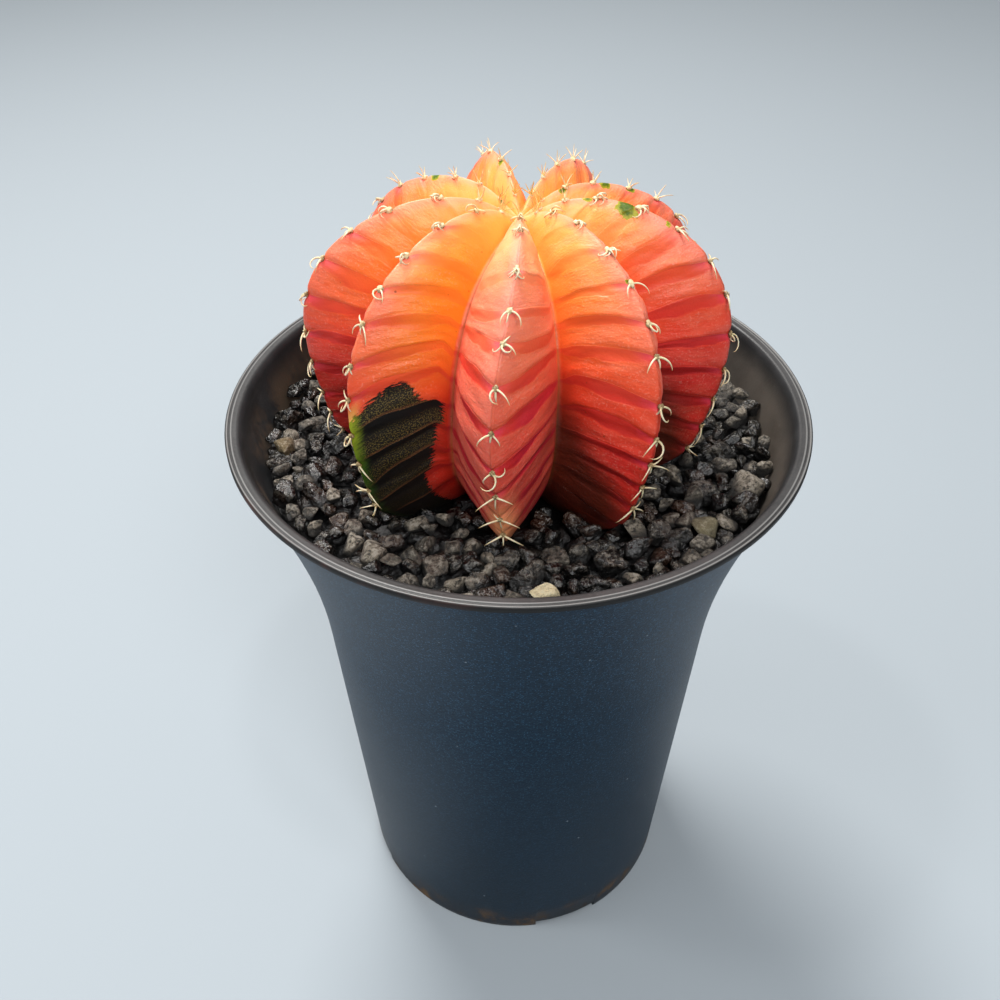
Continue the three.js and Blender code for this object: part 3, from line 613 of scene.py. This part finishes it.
def pot_outline():
    """The moulding's section as one closed run of radius and height, and where its inside begins and ends."""
    foot = [(FOOT_RADIUS - WALL + 0.15, 0), (FOOT_RADIUS - 0.3, 0)]
    outer_wall = [(pot_radius(z), z) for z in OUTER_WALL_HEIGHTS]
    lip_floor = POT_HEIGHT - LIP_THICKNESS
    lip = [
        (pot_radius(103), 103.2), (pot_radius(lip_floor) + 0.05, lip_floor - 0.02),
        (RIM_RADIUS - 0.07, lip_floor), (RIM_RADIUS, lip_floor + 0.07),
    ] + [(RIM_RADIUS - inset, POT_HEIGHT - drop) for inset, drop in LIP_SECTION]
    inner_wall = [(pot_radius(z) - WALL, z) for z in INNER_WALL_HEIGHTS]
    floor = [
        (pot_radius(FLOOR_TOP) - WALL - 0.8, FLOOR_TOP), (CENTRE_DRAIN_RADIUS + 0.3, FLOOR_TOP),
        (CENTRE_DRAIN_RADIUS, FLOOR_TOP - 0.3), (CENTRE_DRAIN_RADIUS, FLOOR_UNDERSIDE),
        (FOOT_RADIUS - WALL - 0.5, FLOOR_UNDERSIDE), (FOOT_RADIUS - WALL, FLOOR_UNDERSIDE - 0.5),
        (FOOT_RADIUS - WALL, 0.2),
    ]
    outside = foot + outer_wall
    inside = lip + inner_wall
    return outside + inside + floor, len(outside), len(outside) + len(inside)


def cut(item, cutter):
    modifier = item.modifiers.new("cut", "BOOLEAN")
    modifier.operation = "DIFFERENCE"
    modifier.solver = "EXACT"
    modifier.object = cutter
    bpy.context.view_layer.update()
    evaluated = item.evaluated_get(bpy.context.evaluated_depsgraph_get())
    mesh = bpy.data.meshes.new_from_object(evaluated)
    item.modifiers.clear()
    item.data = mesh
    bpy.data.objects.remove(cutter)


def make_cutters():
    """The foot ring's notches and the side drains, as solids to take out."""
    shape = bmesh.new()
    for azimuth in NOTCH_AZIMUTHS:
        spot = Vector(around(azimuth, FOOT_RADIUS - 0.4, 0)) * MM
        turn = Matrix.Rotation(math.radians(azimuth), 4, "Z")
        size = Matrix.Diagonal((NOTCH_WIDTH * MM, 5 * WALL * MM, 2 * NOTCH_HEIGHT * MM, 1))
        bmesh.ops.create_cube(shape, size=1, matrix=Matrix.Translation(spot) @ turn @ size)
        hole = Vector(around(azimuth, SIDE_DRAIN_CIRCLE, FLOOR_TOP / 2)) * MM
        bmesh.ops.create_cone(shape, cap_ends=True, segments=40, radius1=SIDE_DRAIN_RADIUS * MM,
                              radius2=SIDE_DRAIN_RADIUS * MM, depth=2 * FLOOR_TOP * MM,
                              matrix=Matrix.Translation(hole))
    mesh = bpy.data.meshes.new("cutters")
    shape.to_mesh(mesh)
    shape.free()
    return add_object("cutters", mesh)


def make_pot(outside, inside):
    outline, first_inside, last_inside = pot_outline()
    azimuths = np.arange(POT_SIDES) * 360 / POT_SIDES
    rings = np.stack([around(azimuths, r, z) for r, z in outline])
    faces = grid_faces(len(outline), POT_SIDES, closed=True)[:, [0, 3, 2, 1]]
    pot = piece("pot_moulding", rings.reshape(-1, 3), faces, outside, "pot_plastic")
    pot.data.materials.append(inside)
    ring = np.repeat(np.arange(len(outline)), POT_SIDES)
    is_inside = (ring >= first_inside) & (ring < last_inside)
    pot.data.polygons.foreach_set("material_index", is_inside.astype(np.int32))
    cut(pot, make_cutters())
    return pot


def along_profile(profile, polar):
    """The profile's reach at a polar angle, on a smooth curve through its values."""
    last = len(profile) - 1
    place = np.clip(polar / PROFILE_STEP, 0, last)
    low = np.minimum(np.floor(place).astype(int), last - 1)
    t = place - low
    before, start, end, after = (profile[np.clip(low + k, 0, last)] for k in (-1, 0, 1, 2))
    slope_start = (end - before) / 2
    slope_end = (after - start) / 2
    return ((2 * t**3 - 3 * t**2 + 1) * start + (t**3 - 2 * t**2 + t) * slope_start
            + (3 * t**2 - 2 * t**3) * end + (t**3 - t**2) * slope_end)


def cactus_point(azimuth, polar, reach):
    angle = np.radians(polar)
    height = reach * np.cos(angle)
    spot = around(azimuth, reach * np.sin(angle), height)
    spot[..., 0] += LEAN[0] * height
    spot[..., 1] += LEAN[1] * height
    return spot + CENTRE


def crest_azimuth(rib, polar):
    azimuth, turn, sway = RIBS[rib][:3]
    phase = (polar - 25) / 112 * 360 + rib * 137
    return azimuth + turn * (polar - HALF_HEIGHT_POLAR) / 100 + sway * np.cos(np.radians(phase))


def furrow_azimuth(rib, side, polar):
    """Half-way from the rib's own line to that of its neighbour on one side."""
    own, other = (RIBS[one][0] + RIBS[one][1] * (polar - HALF_HEIGHT_POLAR) / 100
                  for one in (rib, (rib + side) % RIB_COUNT))
    return own + ((side * (other - own) + 720) % 360) * side / 2


def rib_polar(rib, order):
    """The polar angle at a place counted in areoles, with -1 at the crown and 15 at the base."""
    return np.interp(order, list(range(-1, 16)), [0] + AREOLES[rib] + BURIED_POLARS)


def crest_reach(rib, polar):
    reach, low_reach = RIBS[rib][3:]
    own = 1 + reach * smooth(polar, 10, 40) + low_reach * smooth(polar, 60, 105)
    return own * along_profile(CREST_PROFILE, polar)


def crest_point(rib, order):
    """A point of the crest, which dips at each areole, and its polar angle."""
    polar = rib_polar(rib, order)
    strength = smooth(polar, 8, 40) * (1 - smooth(polar, 118, 126))
    off = np.abs(order - np.round(order))
    dip = -DENT * np.exp(-((off / DENT_WIDTH) ** 2)) + 0.12
    return cactus_point(crest_azimuth(rib, polar), polar, crest_reach(rib, polar) + dip * strength), polar


def furrow_point(rib, side, polar):
    return cactus_point(furrow_azimuth(rib, side, polar), polar, along_profile(FURROW_PROFILE, polar))


def swelling(band):
    """The relief between two areole lines: a quick step in, then a slow swelling."""
    fall = 1 - 2 * np.sin(np.pi / 2 * np.clip(band / DRIP, 0, 1))
    rise = -1 + 2 * np.sin(np.pi / 2 * np.clip((band - DRIP) / (1 - DRIP), 0, 1)) ** 1.15
    return CRISPNESS * np.where(band < DRIP, fall, rise) + (1 - CRISPNESS) * np.cos(2 * np.pi * (band - 0.04))


def fold(across, order, facet):
    """Small uneven folds that run along the swellings."""
    return noise.fractal(Vector((across * 2.4, order * 2.1, facet * 7.3)), 0.8, 2.1, 3)


def facet_columns(rib, side, order, band, rng):
    """The facet on one side of a rib, as columns of points from crest to furrow with their polar angles."""
    facet = rib * 2 + (side > 0)
    mid_high, end_high, mid_low, end_low = LINE_BEND.get((rib, side), rng.uniform(-0.15, 0.2, 4))
    phases = rng.uniform(0, 2 * math.pi, 3)
    # How much each swelling stands out
    loudness, _ = 1 + 0.35 * rng.uniform(-1, 1, (2, 15))
    loud = loudness[np.clip(np.floor(order).astype(int), 0, 13)]
    high_share = 1 - smooth(order, 3.5, 7.5)
    middle = mid_high * high_share + mid_low * (1 - high_share)
    end = end_high * high_share + end_low * (1 - high_share)
    wear, width = FRONT_CREST_WEAR if rib == FRONT_RIB else CREST_WEAR
    columns = []
    for u in (np.arange(COLUMNS_PER_FACET + 1) / COLUMNS_PER_FACET) ** COLUMN_CROWDING:
        # The areole lines bend and waver on their way to the furrow
        bend = middle * 4 * u * (1 - u) + end * u * (2 * u - 1) if u > 0.5 else middle * math.sin(math.pi * u)
        wobble = 0.07 * np.sin(2.3 * order + phases[0] + 2 * u)
        wobble += 0.05 * np.sin(5.2 * order + phases[1] - 3 * u)
        bend = (bend + wobble * smooth(u, 0.03, 0.35)) * smooth(order, 0.5, 3) * (1 - smooth(order, 11, 12))
        moved = order - bend * (1 - smooth(u, 0.8, 1))
        crest, polar = crest_point(rib, moved)
        other = rib_polar((rib + side) % RIB_COUNT, moved)
        fade = smooth(polar, 0, 28) * (1 - smooth(polar, 130, 180))
        furrow = furrow_point(rib, side, (polar + other) / 2 - fade * FURROW_LEAD)
        run = unit(furrow - crest)
        out = unit(crest - CENTRE)
        normal = unit(out - run * (out * run).sum(-1, keepdims=True))
        # Out of the flat facet stand its bulge, its swellings and its folds
        strength = smooth(polar, 10, 48) * (1 - smooth(polar, 122, 132)) * (1 + 0.15 * smooth(polar, 70, 100))
        weight = (0.2 + 0.8 * smooth(u, 0, 0.16)) * (1 - 0.75 * smooth(u, 0.78, 1))
        girth = np.sin(np.radians(polar))
        push = BULGE * girth * math.sin(math.pi * u) * (1 - 0.7 * smooth(polar, 84, 112))
        push = push + RELIEF * swelling(band) * weight * strength * loud * (1 - 0.35 * smooth(polar, 84, 108))
        folds = np.array([fold(u, o, facet) for o in order])
        fold_share = min(1, 6 * u) * (1 - smooth(u, 0.85, 1)) * smooth(polar, 15, 40)
        push = push + FOLDING * folds * fold_share
        if u == 1:
            push = push * 0
        worn = wear * math.exp(-((u / width) ** 2)) * girth
        spots = crest * (1 - u) + furrow * u + normal * push[:, None] - out * worn[:, None]
        columns.append((spots, polar, u))
    return columns


def make_body(material):
    rng = np.random.default_rng(3)
    shown_rows = [k + t for k in range(AREOLES_SHOWN) for t in BAND_ROWS]
    order = np.concatenate([CROWN_ROWS, shown_rows, BURIED_ROWS])
    band = np.where((order >= 0) & (order < 12.9), order - np.floor(order), 0.5)
    fleck_spots = []
    for rib, side, share, place, reach in FLECKS:
        crest, polar = crest_point(rib, np.array([place]))
        furrow = furrow_point(rib, side, polar - FURROW_LEAD)
        fleck_spots.append(((crest * (1 - share) + furrow * share)[0], reach))
    points = []
    facts = {}
    for rib in range(RIB_COUNT):
        left, right = (facet_columns(rib, side, order, band, rng) for side in (-1, 1))
        columns = [(-1, *column) for column in left[:0:-1]] + [(1, *column) for column in right[:-1]]
        for side, spots, polar, u in columns:
            fleck = np.full(len(order), -1.0)
            for centre, reach in fleck_spots:
                fleck = np.maximum(fleck, 1 - np.linalg.norm(spots - centre, axis=1) / reach)
            values = {
                "across": u, "polar": polar / 100, "order": order, "band": band,
                "patch": side * u if rib == PATCHED_RIB else 3.0, "fleck": fleck,
                "ruddy": RUDDY.get((rib, side), COMMON_RUDDY), "front": 1.0 if rib == FRONT_RIB else 0.0,
                "cork_and_shade": CORK_AND_SHADE.get((rib, side), 1.0),
            }
            points.append(spots)
            for key, value in values.items():
                facts.setdefault(key, []).append(np.broadcast_to(value, len(order)))
    grid = np.stack(points, 1)
    faces = grid_faces(*grid.shape[:2], closed=False)
    facts = {key: np.stack(values, 1) for key, values in facts.items()}
    body = piece("cactus_body", grid.reshape(-1, 3), faces, material, "cactus_skin", **facts)
    # The crown and the base are closed
    shape = bmesh.new()
    shape.from_mesh(body.data)
    bmesh.ops.holes_fill(shape, edges=[e for e in shape.edges if e.is_boundary], sides=0)
    shape.to_mesh(body.data)
    shape.free()
    body.data.shade_smooth()
    return body


def areoles():
    """Each areole's rib, order, place, directions down, across and out of the rib, and polar angle."""
    for rib in range(RIB_COUNT):
        for order in range(AREOLES_SHOWN):
            spot, polar = crest_point(rib, np.array([order - 0.04, order, order + 0.04]))
            down = unit(spot[2] - spot[0])
            across = around(crest_azimuth(rib, polar[1]) + 90, 1, 0)
            yield rib, order, spot[1], down, across, unit(np.cross(down, across)), polar[1]


def tube(start, heading, bend_to, bend, length, radius, sides=6, segments=9):
    """A curved tapering spine: points, faces and how far along each point is."""
    heading = unit(heading)
    toward = unit(bend_to - heading * np.dot(bend_to, heading))
    side = unit(np.cross(heading, toward))
    angles = [bend * ((k + 0.5) / segments) for k in range(segments)]
    directions = [heading * math.cos(angle) + toward * math.sin(angle) for angle in angles]
    centres = [start]
    for direction in directions:
        centres.append(centres[-1] + direction * length / segments)
    directions.append(directions[-1])
    points = []
    for k, (centre, direction) in enumerate(zip(centres, directions)):
        # Thickest at the root and almost a point at the tip
        r = radius * (1 - 0.72 * (k / segments) ** 1.4) * (1.25 if k == 0 else 1)
        if k == segments:
            r *= 0.25
        other = np.cross(side, direction)
        for n in range(sides):
            turn = 2 * math.pi * n / sides
            points.append(centre + r * (side * math.cos(turn) + other * math.sin(turn)))
    along = np.repeat(np.arange(segments + 1) / segments, sides)
    return np.array(points), grid_faces(segments + 1, sides, closed=False)[:, [0, 3, 2, 1]], along


def spine_plan(order, upright, rng):
    """Which way the spines of an areole point, and how steeply they stand."""
    if order == 0:
        return CROWN_SPINES
    if upright:
        return UPRIGHT_SPINES
    if order < 4:
        return HIGH_SPINES
    if rng.random() < 0.35:
        return LOW_SPINES + [(150 if rng.random() < 0.5 else -150, 50)]
    return LOW_SPINES


def make_spines(material):
    rng = np.random.default_rng(8)
    spines = Heap()

    def vary(low, high):
        return rng.uniform(low, high)

    for rib, order, spot, down, across, out, polar in areoles():
        upright = rib in (2, 7) and order < 2 or rib in (3, 4, 5, 6) and order < 5
        for index, (turn, lean) in enumerate(spine_plan(order, upright, rng)):
            turn = math.radians(turn + vary(-14, 14))
            lean = math.radians(lean + vary(-9, 9))
            flat = down * math.cos(turn) + across * math.sin(turn)
            heading = flat * math.cos(lean) + out * math.sin(lean)
            # The spines grow longer down the rib, and the inner ones of an areole stay short
            long = (1.9 if order < 4 else 2.0 + 1.0 * min(polar, 110) / 110) * vary(0.75, 1.15)
            thick = (0.11 if order == 0 or upright else 0.15) * vary(0.85, 1.15)
            if index >= 2 and order >= 4:
                long *= 0.75 if index == 2 else 0.6
            curl = vary(80, 125) if order < 9 else vary(45, 95)
            bend = math.radians(curl if order and not upright else vary(10, 50))
            toward = -out * 0.45 + down * 0.9 if index < 2 else -out * 0.9 + down * 0.2
            # Some spines curl right round
            if not upright and (1 <= order < 4 or 4 <= order < 9 and rng.random() < 0.3):
                bend = math.radians(vary(200, 310))
                long *= 1.3
                toward = out * 0.45 + down * 0.7 + across * vary(-0.5, 0.5)
            root = spot - heading * SPINE_ROOT
            points, faces, along = tube(root, heading, toward, bend, long + SPINE_ROOT, thick)
            # Those that would reach the grit turn up and away from it
            if points[-1][2] < GRIT_CLEARANCE_HEIGHT:
                upwards = out + np.array([0, 0, 0.6])
                points, faces, along = tube(root, heading, upwards, bend * 0.4, long * 0.8, thick)
            spines.add(points, faces, along=along, young=np.clip((2 - order) / 2, 0, 1))
    return spines.piece("cactus_spines", material, "cactus_skin")


def ball(subdivisions):
    shape = bmesh.new()
    bmesh.ops.create_icosphere(shape, subdivisions=subdivisions, radius=1)
    points = np.array([v.co[:] for v in shape.verts])
    faces = np.array([[v.index for v in f.verts] for f in shape.faces])
    shape.free()
    return points, faces


def make_areoles(material):
    rng = np.random.default_rng(21)
    points, faces = ball(2)
    tufts = Heap()
    for _, order, spot, down, across, out, _ in areoles():
        local = points * (1 + 0.4 * rng.uniform(-1, 1, len(points)))[:, None]
        size = np.interp(order, [0, 1, 3, 6], [0.26, 0.36, 0.4, 0.34])
        axes = np.stack([across * size, down * size * 1.15, out * size * 0.75])
        tufts.add(spot + local @ axes, faces, young=np.clip((6.5 - order) / 3.5, 0, 1))
    return tufts.piece("cactus_areoles", material, "cactus_skin")


def stone_shapes(points, count, rng):
    """Unit stones: balls cut flat by random planes, with worn edges and a rough face."""
    shapes = []
    for _ in range(count):
        normals = unit(rng.normal(size=(STONE_PLANES, 3)))
        depth = rng.uniform(0.5, 0.82, STONE_PLANES)
        facing = points @ normals.T
        reach = np.where(facing > 0.05, depth / np.maximum(facing, 0.05), 9)
        reach = np.concatenate([reach, np.full((len(points), 1), 1.15)], 1)
        soft = (reach ** -EDGE_SHARPNESS).sum(1) ** (-1 / EDGE_SHARPNESS)
        offset = Vector(rng.uniform(-50, 50, 3))
        rough = np.array([noise.fractal(Vector(p) * 2.2 + offset, 0.6, 2.3, 6) for p in points])
        shapes.append(points * (soft + 0.06 * rough)[:, None])
    return shapes


def body_edge(azimuth):
    """How far the body reaches from the pot's axis at an azimuth, near the grit."""
    spots = []
    for rib in range(RIB_COUNT):
        spots.append(cactus_point(crest_azimuth(rib, 122), 122, crest_reach(rib, 122)))
        spots.append(furrow_point(rib, 1, 126))
    spots = np.array(spots)
    angles = np.degrees(np.arctan2(spots[:, 0], -spots[:, 1])) % 360
    reach = np.hypot(spots[:, 0], spots[:, 1])
    rank = np.argsort(angles)
    return np.interp(azimuth % 360, angles[rank], reach[rank], period=360)


def random_turn(rng):
    turn = Matrix.Rotation(rng.uniform(0, 2 * math.pi), 3, "Z")
    for axis in "XY":
        turn = turn @ Matrix.Rotation(rng.uniform(-0.5, 0.5), 3, axis)
    return np.array(turn)


def scatter_top(rng):
    """Places and sizes of the stones on top, clear of the wall, the cactus, the pebbles and one another."""
    wall = pot_radius(STONE_LEVEL) - WALL
    taken = [(*around(azimuth, radius, z)[:2], PEBBLE_RESERVE) for _, azimuth, radius, z, *_ in PEBBLES]
    chosen = []
    for _ in range(STONE_TRIES):
        azimuth = rng.uniform(0, 360)
        radius = math.sqrt(rng.uniform(13.5 ** 2, (wall - 1.2) ** 2))
        size = rng.choice(STONE_SIZES, p=STONE_SIZE_SHARES) * rng.uniform(0.92, 1.08)
        if radius + size * 0.9 > wall or radius < body_edge(azimuth) + size * 0.45:
            continue
        x, y = around(azimuth, radius, 0.0)[:2]
        if any((x - p[0]) ** 2 + (y - p[1]) ** 2 < (0.8 * (size + p[2])) ** 2 for p in taken):
            continue
        taken.append((x, y, size))
        chosen.append((x, y, STONE_LEVEL + rng.uniform(-1.0, 0.7) - 0.3 * size + 0.5, size))
    return chosen


def scatter_under(rng):
    """Stones that fill the gaps from below, also a little way under the cactus."""
    wall = pot_radius(STONE_LEVEL) - WALL
    chosen = []
    for _ in range(BURIED_STONES):
        azimuth = rng.uniform(0, 360)
        radius = math.sqrt(rng.uniform(12 ** 2, (wall - 1.6) ** 2))
        x, y = around(azimuth, radius, 0.0)[:2]
        if radius >= body_edge(azimuth) - 3:
            z = STONE_LEVEL - 1.5 + rng.uniform(-0.5, 0.4)
            chosen.append((x, y, z, rng.uniform(1.3, 1.8)))
    return chosen


def make_stones(material):
    rng = np.random.default_rng(14)
    fine_points, fine_faces = ball(4)
    coarse_points, coarse_faces = ball(3)
    fine_shapes = stone_shapes(fine_points, 18, rng)
    coarse_shapes = stone_shapes(coarse_points, 8, rng)
    top = scatter_top(rng)
    under = scatter_under(rng)
    groups = {"grit_top_1": top[0::3], "grit_top_2": top[1::3], "grit_top_3": top[2::3], "grit_under": under}
    for name, group in groups.items():
        buried = group is under
        shapes, faces = (coarse_shapes, coarse_faces) if buried else (fine_shapes, fine_faces)
        stones = Heap()
        for x, y, z, size in group:
            shape = shapes[rng.integers(len(shapes))]
            stretch = rng.uniform((0.95, 0.85, 0.7), (1.3, 1.05, 0.9))
            points = (shape * (stretch * size)) @ random_turn(rng).T + np.array([x, y, z])
            # No stone reaches into the wall
            off = np.hypot(points[:, 0], points[:, 1])
            limit = pot_radius(points[:, 2]) - WALL - 0.05
            points[:, :2] *= np.minimum(1, limit / np.maximum(off, 1e-6))[:, None]
            # How high a point stands on its stone: low points take the painted shade, and buried stones sit
            # lower in it
            lift = (points[:, 2] - z) / size - (0.5 if buried else 0)
            tone = BURIED_TONE if buried else rng.choice(STONE_TONES, p=STONE_TONE_SHARES)
            stones.add(points, faces, tone=tone, lift=lift)
        made = stones.piece(name, material, "grit")
        if name == "grit_top_1":
            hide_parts("lava_grit")


def make_bed(material):
    """What lies under the stones, a ring around the cactus's root."""
    inner = 10
    low = SOIL_TOP + 0.3
    outline = [(inner, low), (inner, BED_TOP), (24, BED_TOP + 0.2)]
    outline += [(pot_radius(z) - WALL - 0.1, z) for z in (BED_TOP, low)]
    azimuths = np.arange(BED_SIDES) * 360 / BED_SIDES
    rings = np.stack([around(azimuths, r, z) for r, z in outline]).reshape(-1, 3)
    faces = grid_faces(len(outline), BED_SIDES, closed=True)
    # The lowest lift, so the bed is painted in the stones' underside shade
    deep = np.full(len(rings), -1)
    piece("grit_bed", rings, faces, material, "grit", tone=np.full(len(rings), 0.05), lift=deep)


def make_pebbles():
    rng = np.random.default_rng(4)
    points, faces = ball(4)
    for name, azimuth, radius, z, size, dark, pale in PEBBLES:
        shape = stone_shapes(points, 1, rng)[0]
        spot = around(azimuth, radius, z)
        made = (shape * np.array([1.05, 0.95, 0.72]) * size * 0.95) @ random_turn(rng).T + spot
        material = stone_material(name + "_stone", dark, pale, 0.6, 0.3)
        slot = "cream_stone" if "cream" in name else "tan_stone"
        tone = np.full(len(points), 0.6)
        lift = (made[:, 2] - z) / size
        stone = piece(name + "_stone", made, faces, material, slot, tone=tone, lift=lift)
        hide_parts(name)


def make_camera():
    """The photo's own viewpoint, in the frame of the part."""
    data = bpy.data.cameras.new("camera")
    data.sensor_width = FILM_WIDTH
    data.lens = LENS
    data.clip_start = 0.005
    camera = add_object("camera", data)
    turn = Euler([math.radians(angle) for angle in CAMERA_TURN])
    camera.matrix_world = Matrix.Translation(CAMERA_PLACE) @ turn.to_matrix().to_4x4()
    bpy.context.scene.camera = camera


def make_floor():
    s = Shader("floor")
    s.colour = (156, 164, 170)
    s.finish(Roughness=0.8)
    mesh = bpy.data.meshes.new("floor")
    corners = [(x * FLOOR_REACH, y * FLOOR_REACH, 0) for x, y in ((-1, -1), (1, -1), (1, 1), (-1, 1))]
    mesh.from_pydata(corners, [], [(0, 1, 2, 3)])
    mesh.materials.append(s.material)
    floor = add_object("floor", mesh)


def make_light():
    """Soft light from a bright ceiling, less from the sides, and one large window high behind to the left."""
    world = bpy.data.worlds.new("world")
    world.use_nodes = True
    tree = world.node_tree
    height = tree.nodes.new("ShaderNodeSeparateXYZ")
    tree.links.new(tree.nodes.new("ShaderNodeTexCoord").outputs["Generated"], height.inputs[0])
    grade = tree.nodes.new("ShaderNodeValToRGB")
    for element, place, colour in zip(grade.color_ramp.elements, (0.0, 0.8), (HORIZON, ZENITH)):
        element.position = place
        element.color = colour
    tree.links.new(height.outputs["Z"], grade.inputs[0])
    tree.links.new(grade.outputs[0], tree.nodes["Background"].inputs[0])
    tree.nodes["Background"].inputs[1].default_value = SKY_STRENGTH
    bpy.context.scene.world = world
    for name, (place, target, width, power, colour) in LAMPS.items():
        data = bpy.data.lights.new(name, "AREA")
        data.shape = "DISK"
        data.size = width
        data.energy = power
        data.color = colour
        lamp = add_object(name, data)
        lamp.location = place
        lamp.rotation_euler = (Vector(target) - Vector(place)).to_track_quat("-Z", "Y").to_euler()
    bpy.context.scene.view_settings.view_transform = "Standard"


make_camera()
make_floor()
make_light()
pot = make_pot(pot_outside_material(), pot_inside_material())
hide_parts("pot")
body = make_body(skin_material())
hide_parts("cactus")
make_spines(spine_material())
make_areoles(wool_material())
lava = stone_material("lava_stone", (12, 10, 9), (128, 118, 102), 0.14)
make_stones(lava)
make_bed(lava)
make_pebbles()
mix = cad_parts["potting_mix"]
mix.data.materials.clear()
mix.data.materials.append(soil_material())
